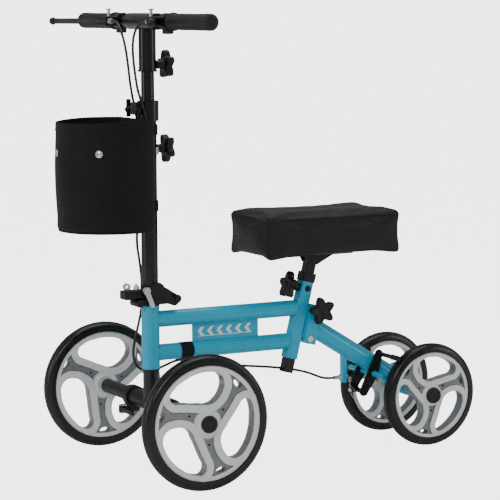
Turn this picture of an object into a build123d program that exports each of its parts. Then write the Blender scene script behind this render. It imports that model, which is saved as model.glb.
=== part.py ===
from build123d import *
import math
import os

# Knee scooter. Millimetres. +X forward, +Y the rider's left, +Z up.
# The origin lies on the ground, midway along the overall length and width.

# Overall sizes
wheelbase = 577.0
front_wheel_radius = 127.0
rear_wheel_radius = 104.0
front_track = 465.0
rear_track = 172.0
bar_height = 858.0
bar_width = 572.0
bag_reach = 183.0

# Clearances
gap = 0.3
running = 0.05

# Tubes (outside radius and wall)
column_radius = 15.9
frame_tube_radius = 15.9
frame_tube_wall = 1.6
rear_tube_radius = 19.0
rear_tube_wall = 2.0
bar_radius = 11.1
bar_wall = 2.0

# Heights on the steering column
head_tube_bottom = 193.0
head_tube_length = 123.0
head_tube_radius = 17.5
head_tube_bore = 14.5
cup_flange = 2.0
steerer_radius = 12.7
fork_radius = 15.5
hinge_base_height = 11.7
mast_top = 705.0
collar_height = 38.0
collar_ear_height = 26.0
stem_bottom = 530.0
sleeve_bottom = 763.0
sleeve_radius = 16.5
stem_knob_height = 776.0
mast_knob_height = 617.0

# Main frame
top_tube_height = 288.0
lower_tube_height = 223.0
plate_front = 89.0
plate_length = 144.0
plate_thickness = 3.0
strap_offset = 72.5
strap_width = 27.0

# Seat tube: square, leaning back from the vertical
seat_tube_side = 25.4
seat_tube_wall = 2.0
seat_tube_length = 156.0
seat_tube_lean = 14.25
seat_tube_foot = (-53.8, 188.5)
post_side = 20.8
post_drop = 29.0
seat_collar_side = 29.0
seat_collar_height = 18.0

# Seat
seat_length = 308.0
seat_width = 175.0
seat_thickness = 83.0
seat_bottom = 401.0
seat_front = 40.0
seat_plate_thickness = 4.0

# Rear fork hinge, measured along and behind the seat tube
clevis_bottom = 35.5
clevis_top = 114.0
clevis_front = 15.7
clevis_back = 42.6
clevis_wall = 3.0
clevis_inside = 15.0
clevis_pivot = (45.7, 27.8)
clevis_knob = (105.4, 31.2)
pivot_pin_radius = 4.0
rear_tube_angle = 31.9
rear_tube_rise = 5.5
axle_housing_radius = 15.0
axle_housing_half = 64.0

# Brake at the rear wheels
rocker_pivot = (92.0, 40.0)
rocker_shoe = (79.5, 80.5)
rocker_foot = (115.0, 5.0)
rocker_toe = (129.0, 19.0)
rocker_plate_inside = 21.0
rocker_plate = 4.0
shoe_radius = 5.5

# Wheels
tyre_width = 29.0
tyre_height = 19.2
rear_tyre_height = 17.3
wheel_face_half = 9.0
border_half = 13.4
rim_half = 13.0
border_share = 0.12
rim_depth = 11.5
hub_radius = 21.0
hub_half = 17.0
axle_radius = 6.0

# Front axle
axle_tube_radius = 14.0
carrier_radius = 17.0
carrier_half = 92.0
axle_clamp_offset = 82.0
axle_tube_half = 208.0

# Handlebar
bar_offset = 6.0
barrel_radius = 15.75
barrel_half = 72.0
grip_radius = 15.5
grip_start = 126.0
perch_offset = 104.0
perch_width = 24.0
lever_pivot = (30.0, 105.0)
lever_angle = 27.0
lever_length = 136.0

# Bag
bag_radius = 98.5
bag_back = 23.0
bag_bottom = 466.0
bag_top = 675.0
bag_wall = 3.0

cable_radius = 2.5

# Worked-out places
column_x = (wheelbase + bag_reach + rear_wheel_radius) / 2 - bag_reach
rear_x = column_x - wheelbase
bar_x = column_x + bar_offset
head_tube_top = head_tube_bottom + head_tube_length
hinge_base_bottom = head_tube_top + cup_flange + gap
hinge_split = hinge_base_bottom + hinge_base_height
fold_pivot = (column_x - 51.0, hinge_split - 3.0)
seat_lean = math.radians(seat_tube_lean)
seat_up = (-math.sin(seat_lean), 0, math.cos(seat_lean))
seat_plane = Plane(
    origin=(seat_tube_foot[0], 0, seat_tube_foot[1]), x_dir=(0, 1, 0), z_dir=seat_up
)
seat_side = Plane(
    origin=(seat_tube_foot[0], 0, seat_tube_foot[1]),
    x_dir=(-math.cos(seat_lean), 0, -math.sin(seat_lean)),
    z_dir=(0, 1, 0),
)
seat_knob_up = seat_tube_length - 14.5
post_foot = -post_drop
pieces = {}


def rod(radius, start, end):
    """A round bar between two points."""
    line = Vector(*end) - Vector(*start)
    plane = Plane(origin=start, z_dir=line)
    return extrude(plane * Circle(radius), amount=line.length)


def rod_y(radius, y0, y1, x, z):
    return rod(radius, (x, y0, z), (x, y1, z))


def rod_z(radius, z0, z1, x, y=0.0):
    return rod(radius, (x, y, z0), (x, y, z1))


def rod_x(radius, x0, x1, y, z):
    return rod(radius, (x0, y, z), (x1, y, z))


def block(x0, x1, y0, y1, z0, z1, rounding=0.0):
    box = Pos((x0 + x1) / 2, (y0 + y1) / 2, (z0 + z1) / 2) * Box(x1 - x0, y1 - y0, z1 - z0)
    return fillet(box.edges(), rounding) if rounding else box


def side_face(points, y):
    """A closed outline of (x, z) points in the plane at this y."""
    return make_face(Polyline(*[(x, y, z) for x, z in points], close=True))


def side_plate(points, y0, y1):
    return extrude(side_face(points, y0), amount=y1 - y0, dir=(0, 1, 0))


def link(circles, y0, y1):
    """A plate in the XZ plane: the hull of circles given as (x, z, radius)."""
    plane = Plane(origin=(0, y0, 0), x_dir=(1, 0, 0), z_dir=(0, -1, 0))
    rounds = Sketch() + [Pos(x, z) * Circle(radius) for x, z, radius in circles]
    return extrude(plane * make_hull(rounds.edges()), amount=y1 - y0, dir=(0, 1, 0))


def flat_link(circles, z0, z1):
    """A plate in the XY plane: the hull of circles given as (x, y, radius)."""
    rounds = Sketch() + [Pos(x, y) * Circle(radius) for x, y, radius in circles]
    return extrude(Plane.XY.offset(z0) * make_hull(rounds.edges()), amount=z1 - z0)


def both_sides(shape):
    return Compound(children=[shape, mirror(shape, about=Plane.XZ)])


def in_seat(y, back, up):
    """A place given across, behind and along the seat tube."""
    return seat_plane * Pos(y, back, up)


def seat_point(up, back):
    """World (x, z) of a point this far along and behind the seat tube's axis."""
    x = seat_tube_foot[0] - up * math.sin(seat_lean) - back * math.cos(seat_lean)
    z = seat_tube_foot[1] + up * math.cos(seat_lean) - back * math.sin(seat_lean)
    return x, z


# Main frame ---------------------------------------------------------------


def head_tube():
    outer = rod_z(head_tube_radius, head_tube_bottom, head_tube_top, column_x)
    return outer - rod_z(head_tube_bore, head_tube_bottom, head_tube_top, column_x)


def headset_cups():
    inner = steerer_radius + running
    cups = []
    for edge, away in ((head_tube_bottom, -1), (head_tube_top, 1)):
        flange = sorted((edge, edge + away * cup_flange))
        skirt = sorted((edge, edge - away * 12.0))
        cup = rod_z(head_tube_radius + 0.8, *flange, column_x) + rod_z(head_tube_bore, *skirt, column_x)
        cups.append(cup - rod_z(inner, head_tube_bottom - 5, head_tube_top + 5, column_x))
    return Compound(children=cups)


def seat_tube():
    outer = RectangleRounded(seat_tube_side, seat_tube_side, 3.0)
    inner = RectangleRounded(post_side + 2 * gap, post_side + 2 * gap, 2.0)
    tube = seat_plane * extrude(outer - inner, amount=seat_tube_length)
    hole = in_seat(0, -seat_tube_side / 2, seat_knob_up) * Rot(90, 0, 0) * Cylinder(3.0 + running, 8)
    return tube - hole + seat_lug()


def frame_tube(height):
    """A round tube from the head tube to the seat tube, notched at both ends."""
    lean_shift = (height - seat_tube_foot[1]) * math.tan(seat_lean)
    seat_x = seat_tube_foot[0] - lean_shift
    tube = rod_x(frame_tube_radius, seat_x, column_x, 0, height)
    tube -= rod_x(frame_tube_radius - frame_tube_wall, seat_x, column_x, 0, height)
    tube -= rod_z(head_tube_radius, height - 40, height + 40, column_x)
    clear = Box(seat_tube_side * 2, seat_tube_side * 4, seat_tube_length * 3)
    return tube - in_seat(0, seat_tube_side * 1.5, 0) * clear


def name_plate():
    front = column_x - plate_front
    low = lower_tube_height + frame_tube_radius - 2.0
    high = top_tube_height - frame_tube_radius + 2.0
    plate = block(front - plate_length, front, -plate_thickness / 2, plate_thickness / 2, low, high)
    for height in (lower_tube_height, top_tube_height):
        plate -= rod_x(frame_tube_radius, front - plate_length, front, 0, height)
    return plate


def seat_lug():
    """The ear behind the seat tube that the rear fork's clevis straddles."""
    half = clevis_inside - 0.4
    up, back = clevis_pivot
    face = seat_tube_side / 2
    end_radius = clevis_back - clevis_wall - back - 0.8
    length = clevis_top - 4.0 - up
    outline = Pos(back, up) * Circle(end_radius)
    outline += Pos((face + back + end_radius) / 2, up + length / 2) * Rectangle(
        back + end_radius - face, length
    )
    lug = extrude(seat_side * outline, amount=half, both=True)
    x, z = seat_point(*clevis_pivot)
    return lug - rod_y(pivot_pin_radius + running, -half - 1, half + 1, x, z)


def seat_collar():
    body = RectangleRounded(seat_collar_side, seat_collar_side, 4.0)
    bore = RectangleRounded(post_side + 2 * gap, post_side + 2 * gap, 2.0)
    return in_seat(0, 0, seat_tube_length) * extrude(body - bore, amount=seat_collar_height)


def cable_strap():
    """A band round the lower tube that also holds the brake cable under it."""
    middle = column_x - strap_offset
    x0 = middle - strap_width / 2
    x1 = middle + strap_width / 2
    band = rod_x(frame_tube_radius + 1.8, x0, x1, 0, lower_tube_height)
    low = lower_tube_height - frame_tube_radius - 9.0
    band += block(x0, x1, -18.5, -6.5, low, lower_tube_height - 8.0, 1.0)
    band -= rod_x(frame_tube_radius, x0 - 1, x1 + 1, 0, lower_tube_height)
    return band - rod_x(cable_radius + 0.4, x0 - 1, x1 + 1, -13.0, low + 4.2)


# Steering -----------------------------------------------------------------


def steerer():
    top = rod_z(steerer_radius, head_tube_bottom - cup_flange - gap, hinge_base_bottom, column_x)
    fork = rod_z(
        fork_radius, front_wheel_radius, head_tube_bottom - cup_flange - gap, column_x
    )
    return top + fork - rod_y(carrier_radius, -50, 50, column_x, front_wheel_radius)


def axle_carrier():
    z = front_wheel_radius
    body = rod_y(carrier_radius, -carrier_half, carrier_half, column_x, z)
    for side in (-1, 1):
        near = side * (axle_clamp_offset - 10)
        far = side * carrier_half
        body += rod_y(carrier_radius + 4, near, far, column_x, z)
        y0, y1 = sorted((near, far))
        body += block(column_x - 9, column_x + 16, y0, y1, z - 30, z - 10, 2.0)
    body -= rod_y(axle_tube_radius, -carrier_half - 1, carrier_half + 1, column_x, z)
    return body


def axle_tubes():
    z = front_wheel_radius
    outer = rod_y(axle_tube_radius, 55, axle_tube_half, column_x, z)
    bore = rod_y(axle_radius, 50, axle_tube_half + 1, column_x, z)
    return both_sides(outer - bore)


def spindle(track, inner, x, z):
    """An axle end: the shaft with a head that keeps the wheel on."""
    end = track / 2 + hub_half + 0.6
    shaft = rod_y(axle_radius, inner, end, x, z)
    return shaft + rod_y(axle_radius + 3.5, end, end + 3.0, x, z)


def hinge_base():
    """The lower casting of the folding joint, bolted to the top of the steerer."""
    z0 = hinge_base_bottom
    z1 = hinge_split
    px, pz = fold_pivot
    body = link([(column_x, z0 + 5, 5), (column_x + 28, z0 + 5, 5), (px, z1 - 6, 5)], -17, 17)
    body = body & block(px - 9, column_x + 60, -30, 30, z0, z1)
    body += block(px, column_x + 30, -17, 17, z0 + 3, z1)
    body += link([(px, pz, 8), (px + 7, z1 - 8, 8)], -17, 17)
    body += link([(column_x + 28, z1 - 7.5, 7.5), (column_x + 20, z1 - 5, 5)], -17, 17)
    body -= rod_y(9.0, -9, 9, px, pz)
    body -= block(px - 12, px + 10.4, -9, 9, z0 - 5, z1 + 20)
    return body - rod_y(pivot_pin_radius, -20, 20, px, pz)


def hinge_pin():
    px, pz = fold_pivot
    return rod_y(pivot_pin_radius, -17, 17, px, pz) + both_sides(rod_y(6.0, 17, 19.0, px, pz))


def axle_lever(side):
    """The quick-release lever under the axle clamp, lying towards the middle."""
    x = column_x + 25.0
    z = front_wheel_radius - 24.0
    y = side * axle_clamp_offset
    cam = rod_z(7.0, z - 6, z + 6, x, y)
    arm = flat_link([(x, y, 5.5), (x + 2, y - side * 52, 4.0)], z - 4, z + 4)
    return cam + arm - rod_z(2.5 + running, z - 7, z + 7, x, y)


def axle_skewers():
    """The skewers of the two axle clamps, each with the fork that its lever turns in."""
    x = column_x + 25.0
    z = front_wheel_radius - 24.0
    y = axle_clamp_offset
    pin = rod_z(2.5, z - 8.5, z + 8.5, x, y)
    fork = block(x - 9, x + 5, y - 5, y + 5, z + 6.3, z + 8.5)
    fork += block(x - 9, x + 5, y - 5, y + 5, z - 8.5, z - 6.3)
    fork += block(x - 9, x - 7.3, y - 5, y + 5, z - 8.5, z + 8.5)
    return both_sides(fork + pin)


# Mast ---------------------------------------------------------------------


def hinge_head():
    """The upper casting: a socket for the mast, a tongue to the pin and the latch lug."""
    z0 = hinge_split + gap
    px, pz = fold_pivot
    body = rod_z(column_radius + 3.0, z0, z0 + 24, column_x)
    body += side_plate(
        [
            (px + 12, z0), (px + 12, z0 + 12), (column_x - 12, z0 + 28),
            (column_x + 6, z0 + 28), (column_x + 14, z0),
        ],
        -17,
        17,
    )
    body += link([(px, pz, 7.7), (px + 16, pz + 10, 7), (px + 30, pz + 14, 10)], -8.6, 8.6) & block(
        px - 20, column_x, -9, 9, pz - 9, z0 + 40
    )
    body += rod_y(15.5, -14, 20, column_x - 7, z0 + 16)
    body += block(column_x + 10, column_x + 58, -15, 12, z0, z0 + 17, 3.0)
    body -= block(px - 30, px + 11.5, -30, -8.6, pz - 20, z0 + 40)
    body -= block(px - 30, px + 11.5, 8.6, 30, pz - 20, z0 + 40)
    body -= block(px + 9.3, column_x + 80, -30, 30, pz - 20, z0)
    body -= rod_z(column_radius, z0 + 4, z0 + 60, column_x)
    return body - rod_y(pivot_pin_radius + running, -20, 20, px, pz)


def latch_hardware():
    """The eye bolt and lock nuts that set the fold latch."""
    z = hinge_split + gap + 17
    nuts = rod_y(7.0, -10, -3, column_x + 46, z + 6.2) - rod_y(3.2, -12, 0, column_x + 46, z + 6.2)
    nuts -= block(column_x + 30, column_x + 60, -12, 0, z - 9, z)
    stud = rod_z(3.0, z, z + 12, column_x + 30, 2) + rod_z(5.5, z + 2, z + 8, column_x + 30, 2)
    return Compound(children=[nuts, stud, latch_pivot()])


def latch_lever():
    """The flat bar that cams the fold latch shut, on the rider's left."""
    x = column_x + 18.0
    z = hinge_split + gap + 17.0
    bar = link([(x, z, 5.5), (x - 12, z - 29, 4.5)], 20.6, 24.6)
    return bar + rod_y(7.5, 20.6, 26.0, x, z) - rod_y(3.0 + running, 19, 27, x, z)


def latch_pivot():
    x = column_x + 18.0
    z = hinge_split + gap + 17.0
    return rod_y(3.0, 12, 26.6, x, z) + rod_y(6.5, 26.6, 28.2, x, z) + rod_y(5.5, 15.5, 20.2, x, z)


def mast_tube():
    z0 = hinge_split + gap + 4
    tube = rod_z(column_radius, z0, mast_top, column_x)
    tube -= rod_z(steerer_radius + running, z0 + 4, mast_top + 1, column_x)
    return tube - rod_x(3 + running, column_x - 20, column_x, 0, mast_knob_height)


def height_collar():
    """The clamp round the mast's top, with its ears and skewer in front."""
    z0 = mast_top - collar_height + 3
    z1 = mast_top + 3
    ring = rod_z(column_radius + 4.5, z0, z1, column_x) - rod_z(column_radius, z0, mast_top, column_x)
    ring -= rod_z(steerer_radius + running, z0, z1 + 1, column_x)
    ear_bottom = mast_top - collar_ear_height + 3
    ears = block(column_x + 17, column_x + 31, 1, 11, ear_bottom, z1 - 2, 1.5)
    ears += block(column_x + 17, column_x + 31, -11, -1, ear_bottom, z1 - 2, 1.5)
    ears -= rod_z(column_radius + 4, z0 - 1, z1 + 1, column_x)
    x, z = skewer_place
    skewer = rod_y(3.0, lever_side + 8, 17, x, z) + rod_y(6.0, 11, 16, x, z)
    return Compound(children=[ring + ears + skewer, rod_x(2.0, x - 9, x + 9, lever_side, z)])


skewer_place = (column_x + 26.0, mast_top - 14.0)
lever_side = -29.0


def height_lever():
    """The quick-release lever of the height clamp, standing beside the skewer."""
    x, z = skewer_place
    arm = rod_x(6.0, x - 5.5, x + 5.5, lever_side, z)
    arm += block(x - 4.5, x + 4.5, lever_side - 5, lever_side - 0.5, z - 14, z + 20, 1.5)
    return arm - rod_x(2.0 + running, x - 8, x + 8, lever_side, z)


def bag():
    """An open bag of stiff cloth with a flat back against the mast."""
    middle = column_x + bag_reach - bag_radius
    back = column_x + bag_back

    def outline(inset):
        keep = Pos(back + inset + bag_radius, 0) * Rectangle(2 * bag_radius, 3 * bag_radius)
        return Pos(middle, 0) * Circle(bag_radius - inset) & keep

    outer = extrude(Plane.XY.offset(bag_bottom) * outline(0), amount=bag_top - bag_bottom)
    inner = Plane.XY.offset(bag_bottom + bag_wall) * outline(bag_wall)
    return outer - extrude(inner, amount=bag_top - bag_bottom)


def bag_straps():
    """Two bands round the mast, each with a tab to the bag's back."""
    straps = []
    for z0 in (bag_bottom + 32, bag_top - 32):
        band = rod_z(column_radius + 1.6, z0, z0 + 20, column_x)
        band += block(column_x + 12, column_x + bag_back, -9, 9, z0, z0 + 20)
        straps.append(band - rod_z(column_radius, z0 - 1, z0 + 21, column_x))
    return Compound(children=straps)


# Stem and handlebar -------------------------------------------------------


def stem_tube():
    top = bar_height - barrel_radius - 4
    tube = rod_z(steerer_radius, stem_bottom, top, column_x)
    tube -= rod_z(steerer_radius - 2.0, stem_bottom - 1, top + 1, column_x)
    for step in range(5):
        z = stem_bottom + 40 + 25 * step
        tube -= rod_x(3.5, column_x - 20, column_x, 0, z)
    return tube


def stem_head():
    """The T-shaped head: a sleeve over the stem and a barrel round the handlebar."""
    top = bar_height - barrel_radius - 4
    body = rod_z(sleeve_radius, sleeve_bottom, bar_height, column_x)
    body += rod_z(sleeve_radius + 2, sleeve_bottom, sleeve_bottom + 4, column_x)
    taper = rod_y(bar_radius + 2, -barrel_half, barrel_half, bar_x, bar_height)
    barrel = rod_y(barrel_radius, -barrel_half + 9, barrel_half - 9, bar_x, bar_height)
    body += taper + barrel
    body -= rod_z(steerer_radius, sleeve_bottom - 1, top, column_x)
    body -= rod_y(bar_radius, -barrel_half - 1, barrel_half + 1, bar_x, bar_height)
    return body - rod_x(3 + running, column_x - 25, column_x, 0, stem_knob_height)


def handlebar():
    half = bar_width / 2 - 2
    bar = rod_y(bar_radius, -half, half, bar_x, bar_height)
    return bar - rod_y(bar_radius - bar_wall, -half - 1, half + 1, bar_x, bar_height)


def grips():
    end = bar_width / 2
    grip = rod_y(grip_radius, grip_start, end, bar_x, bar_height)
    grip = fillet(grip.edges().sort_by(Axis.Y)[-1], 5.0)
    grip += rod_y(grip_radius + 2, grip_start, grip_start + 5, bar_x, bar_height)
    return both_sides(grip - rod_y(bar_radius, grip_start - 1, end - 2, bar_x, bar_height))


def lever_perches():
    """The clamps that hold the brake levers, each with the lever's pivot pin."""
    z = bar_height
    lx, ly = lever_pivot
    y0 = perch_offset - perch_width / 2
    y1 = perch_offset + perch_width / 2
    perch = rod_y(16.0, y0, y1, bar_x, z) + block(bar_x - 7, bar_x + 7, y0, y1, z - 23, z, 3.0)
    perch += block(bar_x + 6, bar_x + lx + 9, y0, y1, z - 9.5, z + 9.5, 2.5)
    perch -= rod_y(bar_radius, y0 - 1, y1 + 1, bar_x, z)
    perch -= block(bar_x + 18, bar_x + lx + 12, y0 + 4, y1 + 5, z - 4.5, z + 4.5)
    perch -= rod_z(3.0 + running, z, z + 12, bar_x + lx, pin_offset)
    return both_sides(perch + rod_z(2.5, z - 6, z + 6, bar_x + lx, ly))


pin_offset = lever_pivot[1] - 9.0


def cable_adjusters():
    """The threaded barrels that the brake cables leave the levers through."""
    x = bar_x + lever_pivot[0]
    y = perch_offset - perch_width / 2
    barrel = rod_y(4.5, y - 14, y, x, bar_height) + rod_y(6.0, y - 5, y, x, bar_height)
    return both_sides(barrel)


def brake_lever(side):
    z = bar_height
    lx, ly = lever_pivot
    slope = math.radians(lever_angle)

    def place(along):
        return bar_x + lx + along * math.sin(slope), side * (ly + along * math.cos(slope))

    root = flat_link([(*place(0), 6.5), (*place(26), 5.0)], z - 4.2, z + 4.2)
    blade = flat_link([(*place(22), 4.5), (*place(lever_length - 6), 3.8)], z - 5.5, z + 5.5)
    tip = Pos(*place(lever_length), z) * Sphere(7.5)
    return root + blade + tip - rod_z(2.5 + running, z - 9, z + 9, *place(0))


def lock_pin(side):
    """The pull-up pin that holds its brake lever pulled in, as a parking brake."""
    x = bar_x + lever_pivot[0]
    y = side * pin_offset
    z = bar_height + 5.2
    return rod_z(3.0, z, z + 16, x, y) + rod_z(5.5, z + 16, z + 19, x, y)


# Star knobs ---------------------------------------------------------------


def star_knob(stand_off, screw):
    """A five-armed knob on +Z, its seat at the origin and its screw below it."""

    def edge(step):
        angle = math.tau * step / 20
        radius = 22.6 + 5.4 * math.cos(5 * angle)
        return radius * math.cos(angle), radius * math.sin(angle)

    star = extrude(
        make_face(Spline([edge(step) for step in range(20)], periodic=True)), amount=15
    )
    knob = Pos(0, 0, stand_off) * star + rod_z(8.0, 0.3, stand_off + 1, 0)
    return knob + rod_z(3.0, -screw, 1, 0)


def turned_to(x, y, z, direction):
    return Plane(origin=(x, y, z), z_dir=direction).location


# Seat ---------------------------------------------------------------------


def seat_post():
    outline = RectangleRounded(post_side, post_side, 1.8) - RectangleRounded(
        post_side - 4, post_side - 4, 1.0
    )
    top = (seat_bottom - seat_tube_foot[1]) / math.cos(seat_lean) + 20
    post = in_seat(0, 0, post_foot) * extrude(outline, amount=top - post_foot)
    return post - block(-400, 400, -50, 50, seat_bottom - seat_plate_thickness, seat_bottom + 200)


def seat_bracket():
    """The plate under the cushion and the gusset ears that brace it to the post."""
    high = seat_bottom - seat_plate_thickness
    rise = (high - seat_tube_foot[1]) / math.cos(seat_lean)
    x, _ = seat_point(rise, 0)
    plate = block(x - 62, x + 78, -55, 55, high, seat_bottom)
    bx, bz = seat_point(rise - 22, post_side / 2)
    fx, fz = seat_point(rise - 22, -post_side / 2)
    ear = side_plate(
        [(bx, bz), (x - 44, high - 4), (x - 44, high), (x + 22, high), (x + 22, high - 6), (fx, fz)],
        post_side / 2,
        post_side / 2 + 3,
    )
    return plate + ear + mirror(ear, about=Plane.XZ)


def seat_cushion():
    rear = seat_front - seat_length
    cushion = block(
        rear, seat_front, -seat_width / 2, seat_width / 2, seat_bottom, seat_bottom + seat_thickness
    )
    cushion = fillet(cushion.edges().filter_by(Axis.Z), 20.0)
    return fillet(cushion.faces().sort_by(Axis.Z)[-1].edges(), 9.0)


# Rear fork ----------------------------------------------------------------


def rear_tube():
    slope = math.radians(rear_tube_angle)
    start = (rear_x + 6, 0, rear_wheel_radius + rear_tube_rise + 6 * math.tan(slope))
    run = (-clevis_back + 40) + (seat_tube_foot[0] - rear_x)
    end = (start[0] + run, 0, start[2] + run * math.tan(slope))
    tube = rod(rear_tube_radius, start, end) - rod(rear_tube_radius - rear_tube_wall, start, end)
    front = Box(200, 200, 600)
    tube -= in_seat(0, clevis_back - 100, 0) * front
    return tube - rod_y(axle_housing_radius, -40, 40, rear_x, rear_wheel_radius)


def rear_clevis():
    """The channel that straddles the seat tube's lug, with a gusset under the tube."""
    outside = clevis_inside + clevis_wall
    middle = (clevis_front + clevis_back) / 2
    up = (clevis_bottom + clevis_top) / 2
    width = clevis_back - clevis_front
    height = clevis_top - clevis_bottom
    channel = in_seat(0, middle, up) * Box(2 * outside, width, height)
    channel -= in_seat(0, middle - clevis_wall, up) * Box(2 * clevis_inside, width, height + 2)
    x, z = seat_point(*clevis_pivot)
    channel -= rod_y(pivot_pin_radius, -outside - 1, outside + 1, x, z)
    kx, kz = seat_point(*clevis_knob)
    return channel - rod_y(3 + running, 0, outside + 1, kx, kz)


def pivot_bolt():
    outside = clevis_inside + clevis_wall
    x, z = seat_point(*clevis_pivot)
    bolt = rod_y(pivot_pin_radius, -outside, outside, x, z)
    return bolt + both_sides(rod_y(6.5, outside, outside + 2.5, x, z))


def axle_housing():
    housing = rod_y(
        axle_housing_radius, -axle_housing_half, axle_housing_half, rear_x, rear_wheel_radius
    )
    return housing - rod_y(axle_radius, -200, 200, rear_x, rear_wheel_radius)


def rear_axle():
    end = spindle(rear_track, 0, rear_x, rear_wheel_radius)
    return end + mirror(end, about=Plane.XZ)


def behind_axle(offset):
    """World (x, z) of a brake place given forward of and above the rear axle."""
    return rear_x + offset[0], rear_wheel_radius + offset[1]


def tube_bottom(x):
    """Height of the rear tube's underside at this x."""
    slope = math.radians(rear_tube_angle)
    axis = rear_wheel_radius + rear_tube_rise + (x - rear_x) * math.tan(slope)
    return axis - rear_tube_radius / math.cos(slope)


def solid_rear_tube():
    slope = math.radians(rear_tube_angle)
    start = (rear_x, 0, rear_wheel_radius + rear_tube_rise)
    end = (rear_x + 260, 0, start[2] + 260 * math.tan(slope))
    return rod(rear_tube_radius, start, end)


def brake_bracket():
    """The plate under the rear tube that stops the cable, and the rocker's cross tube."""
    x = rear_x + 149.0
    plate = block(x - 5, x + 5, -6.5, 6.5, rear_wheel_radius + 24, tube_bottom(x) + 12, 1.0)
    px, pz = behind_axle(rocker_pivot)
    cross = rod_y(6.0, -68, 68, px, pz)
    for side in (-1, 1):
        near = side * (rocker_plate_inside - gap)
        far = side * (rocker_plate_inside + rocker_plate + gap)
        y0, y1 = sorted((near, far))
        cross -= rod_y(8.0, y0, y1, px, pz) - rod_y(5.0, y0 - 1, y1 + 1, px, pz)
    plate -= rod_x(4.0, x - 10, x + 10, 0, cable_stop_height)
    return Compound(children=[plate - solid_rear_tube(), cross - solid_rear_tube()])


cable_stop_height = rear_wheel_radius + 35.0


def cable_stop():
    x = rear_x + 149.0
    stop = rod_x(4.0, x - 10, x + 22, 0, cable_stop_height)
    return stop + rod_x(5.5, x + 5, x + 10, 0, cable_stop_height)


def brake_rocker():
    """Two side plates joined under the tube, with a stub over each tyre."""
    px, pz = behind_axle(rocker_pivot)
    sx, sz = behind_axle(rocker_shoe)
    fx, fz = behind_axle(rocker_foot)
    y0 = rocker_plate_inside
    y1 = y0 + rocker_plate
    plate = link([(sx, sz, 8), (px, pz, 10), (fx, fz, 9)], y0, y1)
    plate -= rod_y(5.0 + running, y0 - 1, y1 + 1, px, pz)
    half = plate + rod_y(4.5, y1, rear_track / 2 + tyre_width / 2 - 1, sx, sz)
    half += rod_y(5.0, 0, y0, fx, fz)
    tx, tz = behind_axle(rocker_toe)
    toe = link([(fx, fz, 5), (tx, tz, 5)], 0, 3.5)
    half += toe
    return half + mirror(half, about=Plane.XZ)


def brake_shoes():
    sx, sz = behind_axle(rocker_shoe)
    inner = rear_track / 2 - tyre_width / 2
    sleeve = rod_y(shoe_radius, inner + 1, inner + tyre_width - 2, sx, sz)
    return both_sides(sleeve - rod_y(4.5, inner, inner + tyre_width, sx, sz))


def brake_spring():
    """The outer shape of the coil between the cable stop and the rocker's toe."""
    tx, tz = behind_axle(rocker_toe)
    start = (rear_x + 134.5, 0, cable_stop_height - 2.5)
    end = (tx + 4.5, 0, tz + 6.0)
    return rod(3.6, start, end)


# Wheels -------------------------------------------------------------------


def tyre(radius, height, x, y, z):
    profile = Pos(radius - height / 2, 0) * RectangleRounded(height, tyre_width, 2.0)
    crown = Pos(radius - 20, 0) * Circle(20)
    crown = crown & Pos(radius - height / 2, 0) * Rectangle(height, tyre_width)
    profile = profile & (crown + Pos(radius - height, 0) * Rectangle(height, tyre_width))
    ring = revolve(Plane.XZ * profile, axis=Axis.Z)
    return Pos(x, y, z) * Rot(90, 0, 0) * ring


def window_edge(rim, turn, hand, grow):
    """A comma-shaped window's closed outline, in polar shares of the rim's radius."""
    corners = [
        (66, 0.60), (69, 0.76), (77, 0.855), (90, 0.875), (105, 0.875), (122, 0.875),
        (138, 0.885), (147, 0.86), (150, 0.76), (145, 0.64), (136, 0.52), (124, 0.42),
        (108, 0.365), (92, 0.34), (78, 0.37), (69, 0.46),
    ]
    places = []
    for angle, share in corners:
        theta = math.radians(hand * angle + turn)
        places.append(Vector(-math.cos(theta), math.sin(theta)) * (share * rim))
    grown = []
    for number, place in enumerate(places):
        along = places[(number + 1) % len(places)] - places[number - 1]
        outward = Vector(along.Y, -along.X).normalized() * (-hand * grow)
        grown.append(place + outward)
    return make_face(Spline(grown, periodic=True))


def wheel(radius, height, hand, first, x, y, z):
    """A moulded wheel: rim, three comma-shaped windows with raised borders, and hub."""
    rim = radius - height
    disc = Circle(rim)
    face = Circle(rim - 1.2)
    borders = Sketch()
    windows = Sketch()
    for third in range(3):
        turn = first + 120 * third
        windows += window_edge(rim, turn, hand, 0)
        borders += window_edge(rim, turn, hand, border_share * rim) & face
        theta = math.radians(hand * 50 + turn)
        slot = Pos(-math.cos(theta) * 0.87 * rim, math.sin(theta) * 0.87 * rim)
        tilt = Rot(0, 0, 180 - math.degrees(theta))
        windows += slot * tilt * SlotOverall(0.2 * rim, 0.08 * rim, rotation=90)
    plate = extrude(disc, amount=wheel_face_half, both=True)
    plate += extrude(borders, amount=border_half, both=True)
    plate += extrude(disc - Circle(rim - rim_depth), amount=rim_half, both=True)
    plate += Cylinder(hub_radius, 2 * hub_half)
    plate -= extrude(windows, amount=tyre_width, both=True)
    plate -= Cylinder(axle_radius + running, 4 * hub_half)
    for side in (-1, 1):
        plate -= Pos(0, 0, side * hub_half) * Cylinder(hub_radius - 5, 4)
    return Pos(x, y, z) * Rot(90, 0, 0) * plate


def hub_cap(side, x, y, z):
    """The cap pressed into the hub's outer face, hollow over the axle's head."""
    seat = side * (hub_half - 2)
    face = side * (hub_half + 7)
    cap = rod_y(hub_radius - 5, y + seat, y + face, x, z)
    inside = rod_y(axle_radius + 5, y + seat - side, y + face - 2 * side, x, z)
    return cap - inside


wheels = {
    "front_left": (front_wheel_radius, tyre_height, 1, -3, column_x, front_track / 2),
    "front_right": (front_wheel_radius, tyre_height, 1, -20, column_x, -front_track / 2),
    "rear_left": (rear_wheel_radius, rear_tyre_height, -1, 68, rear_x, rear_track / 2),
    "rear_right": (rear_wheel_radius, rear_tyre_height, -1, 70, rear_x, -rear_track / 2),
}


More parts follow.
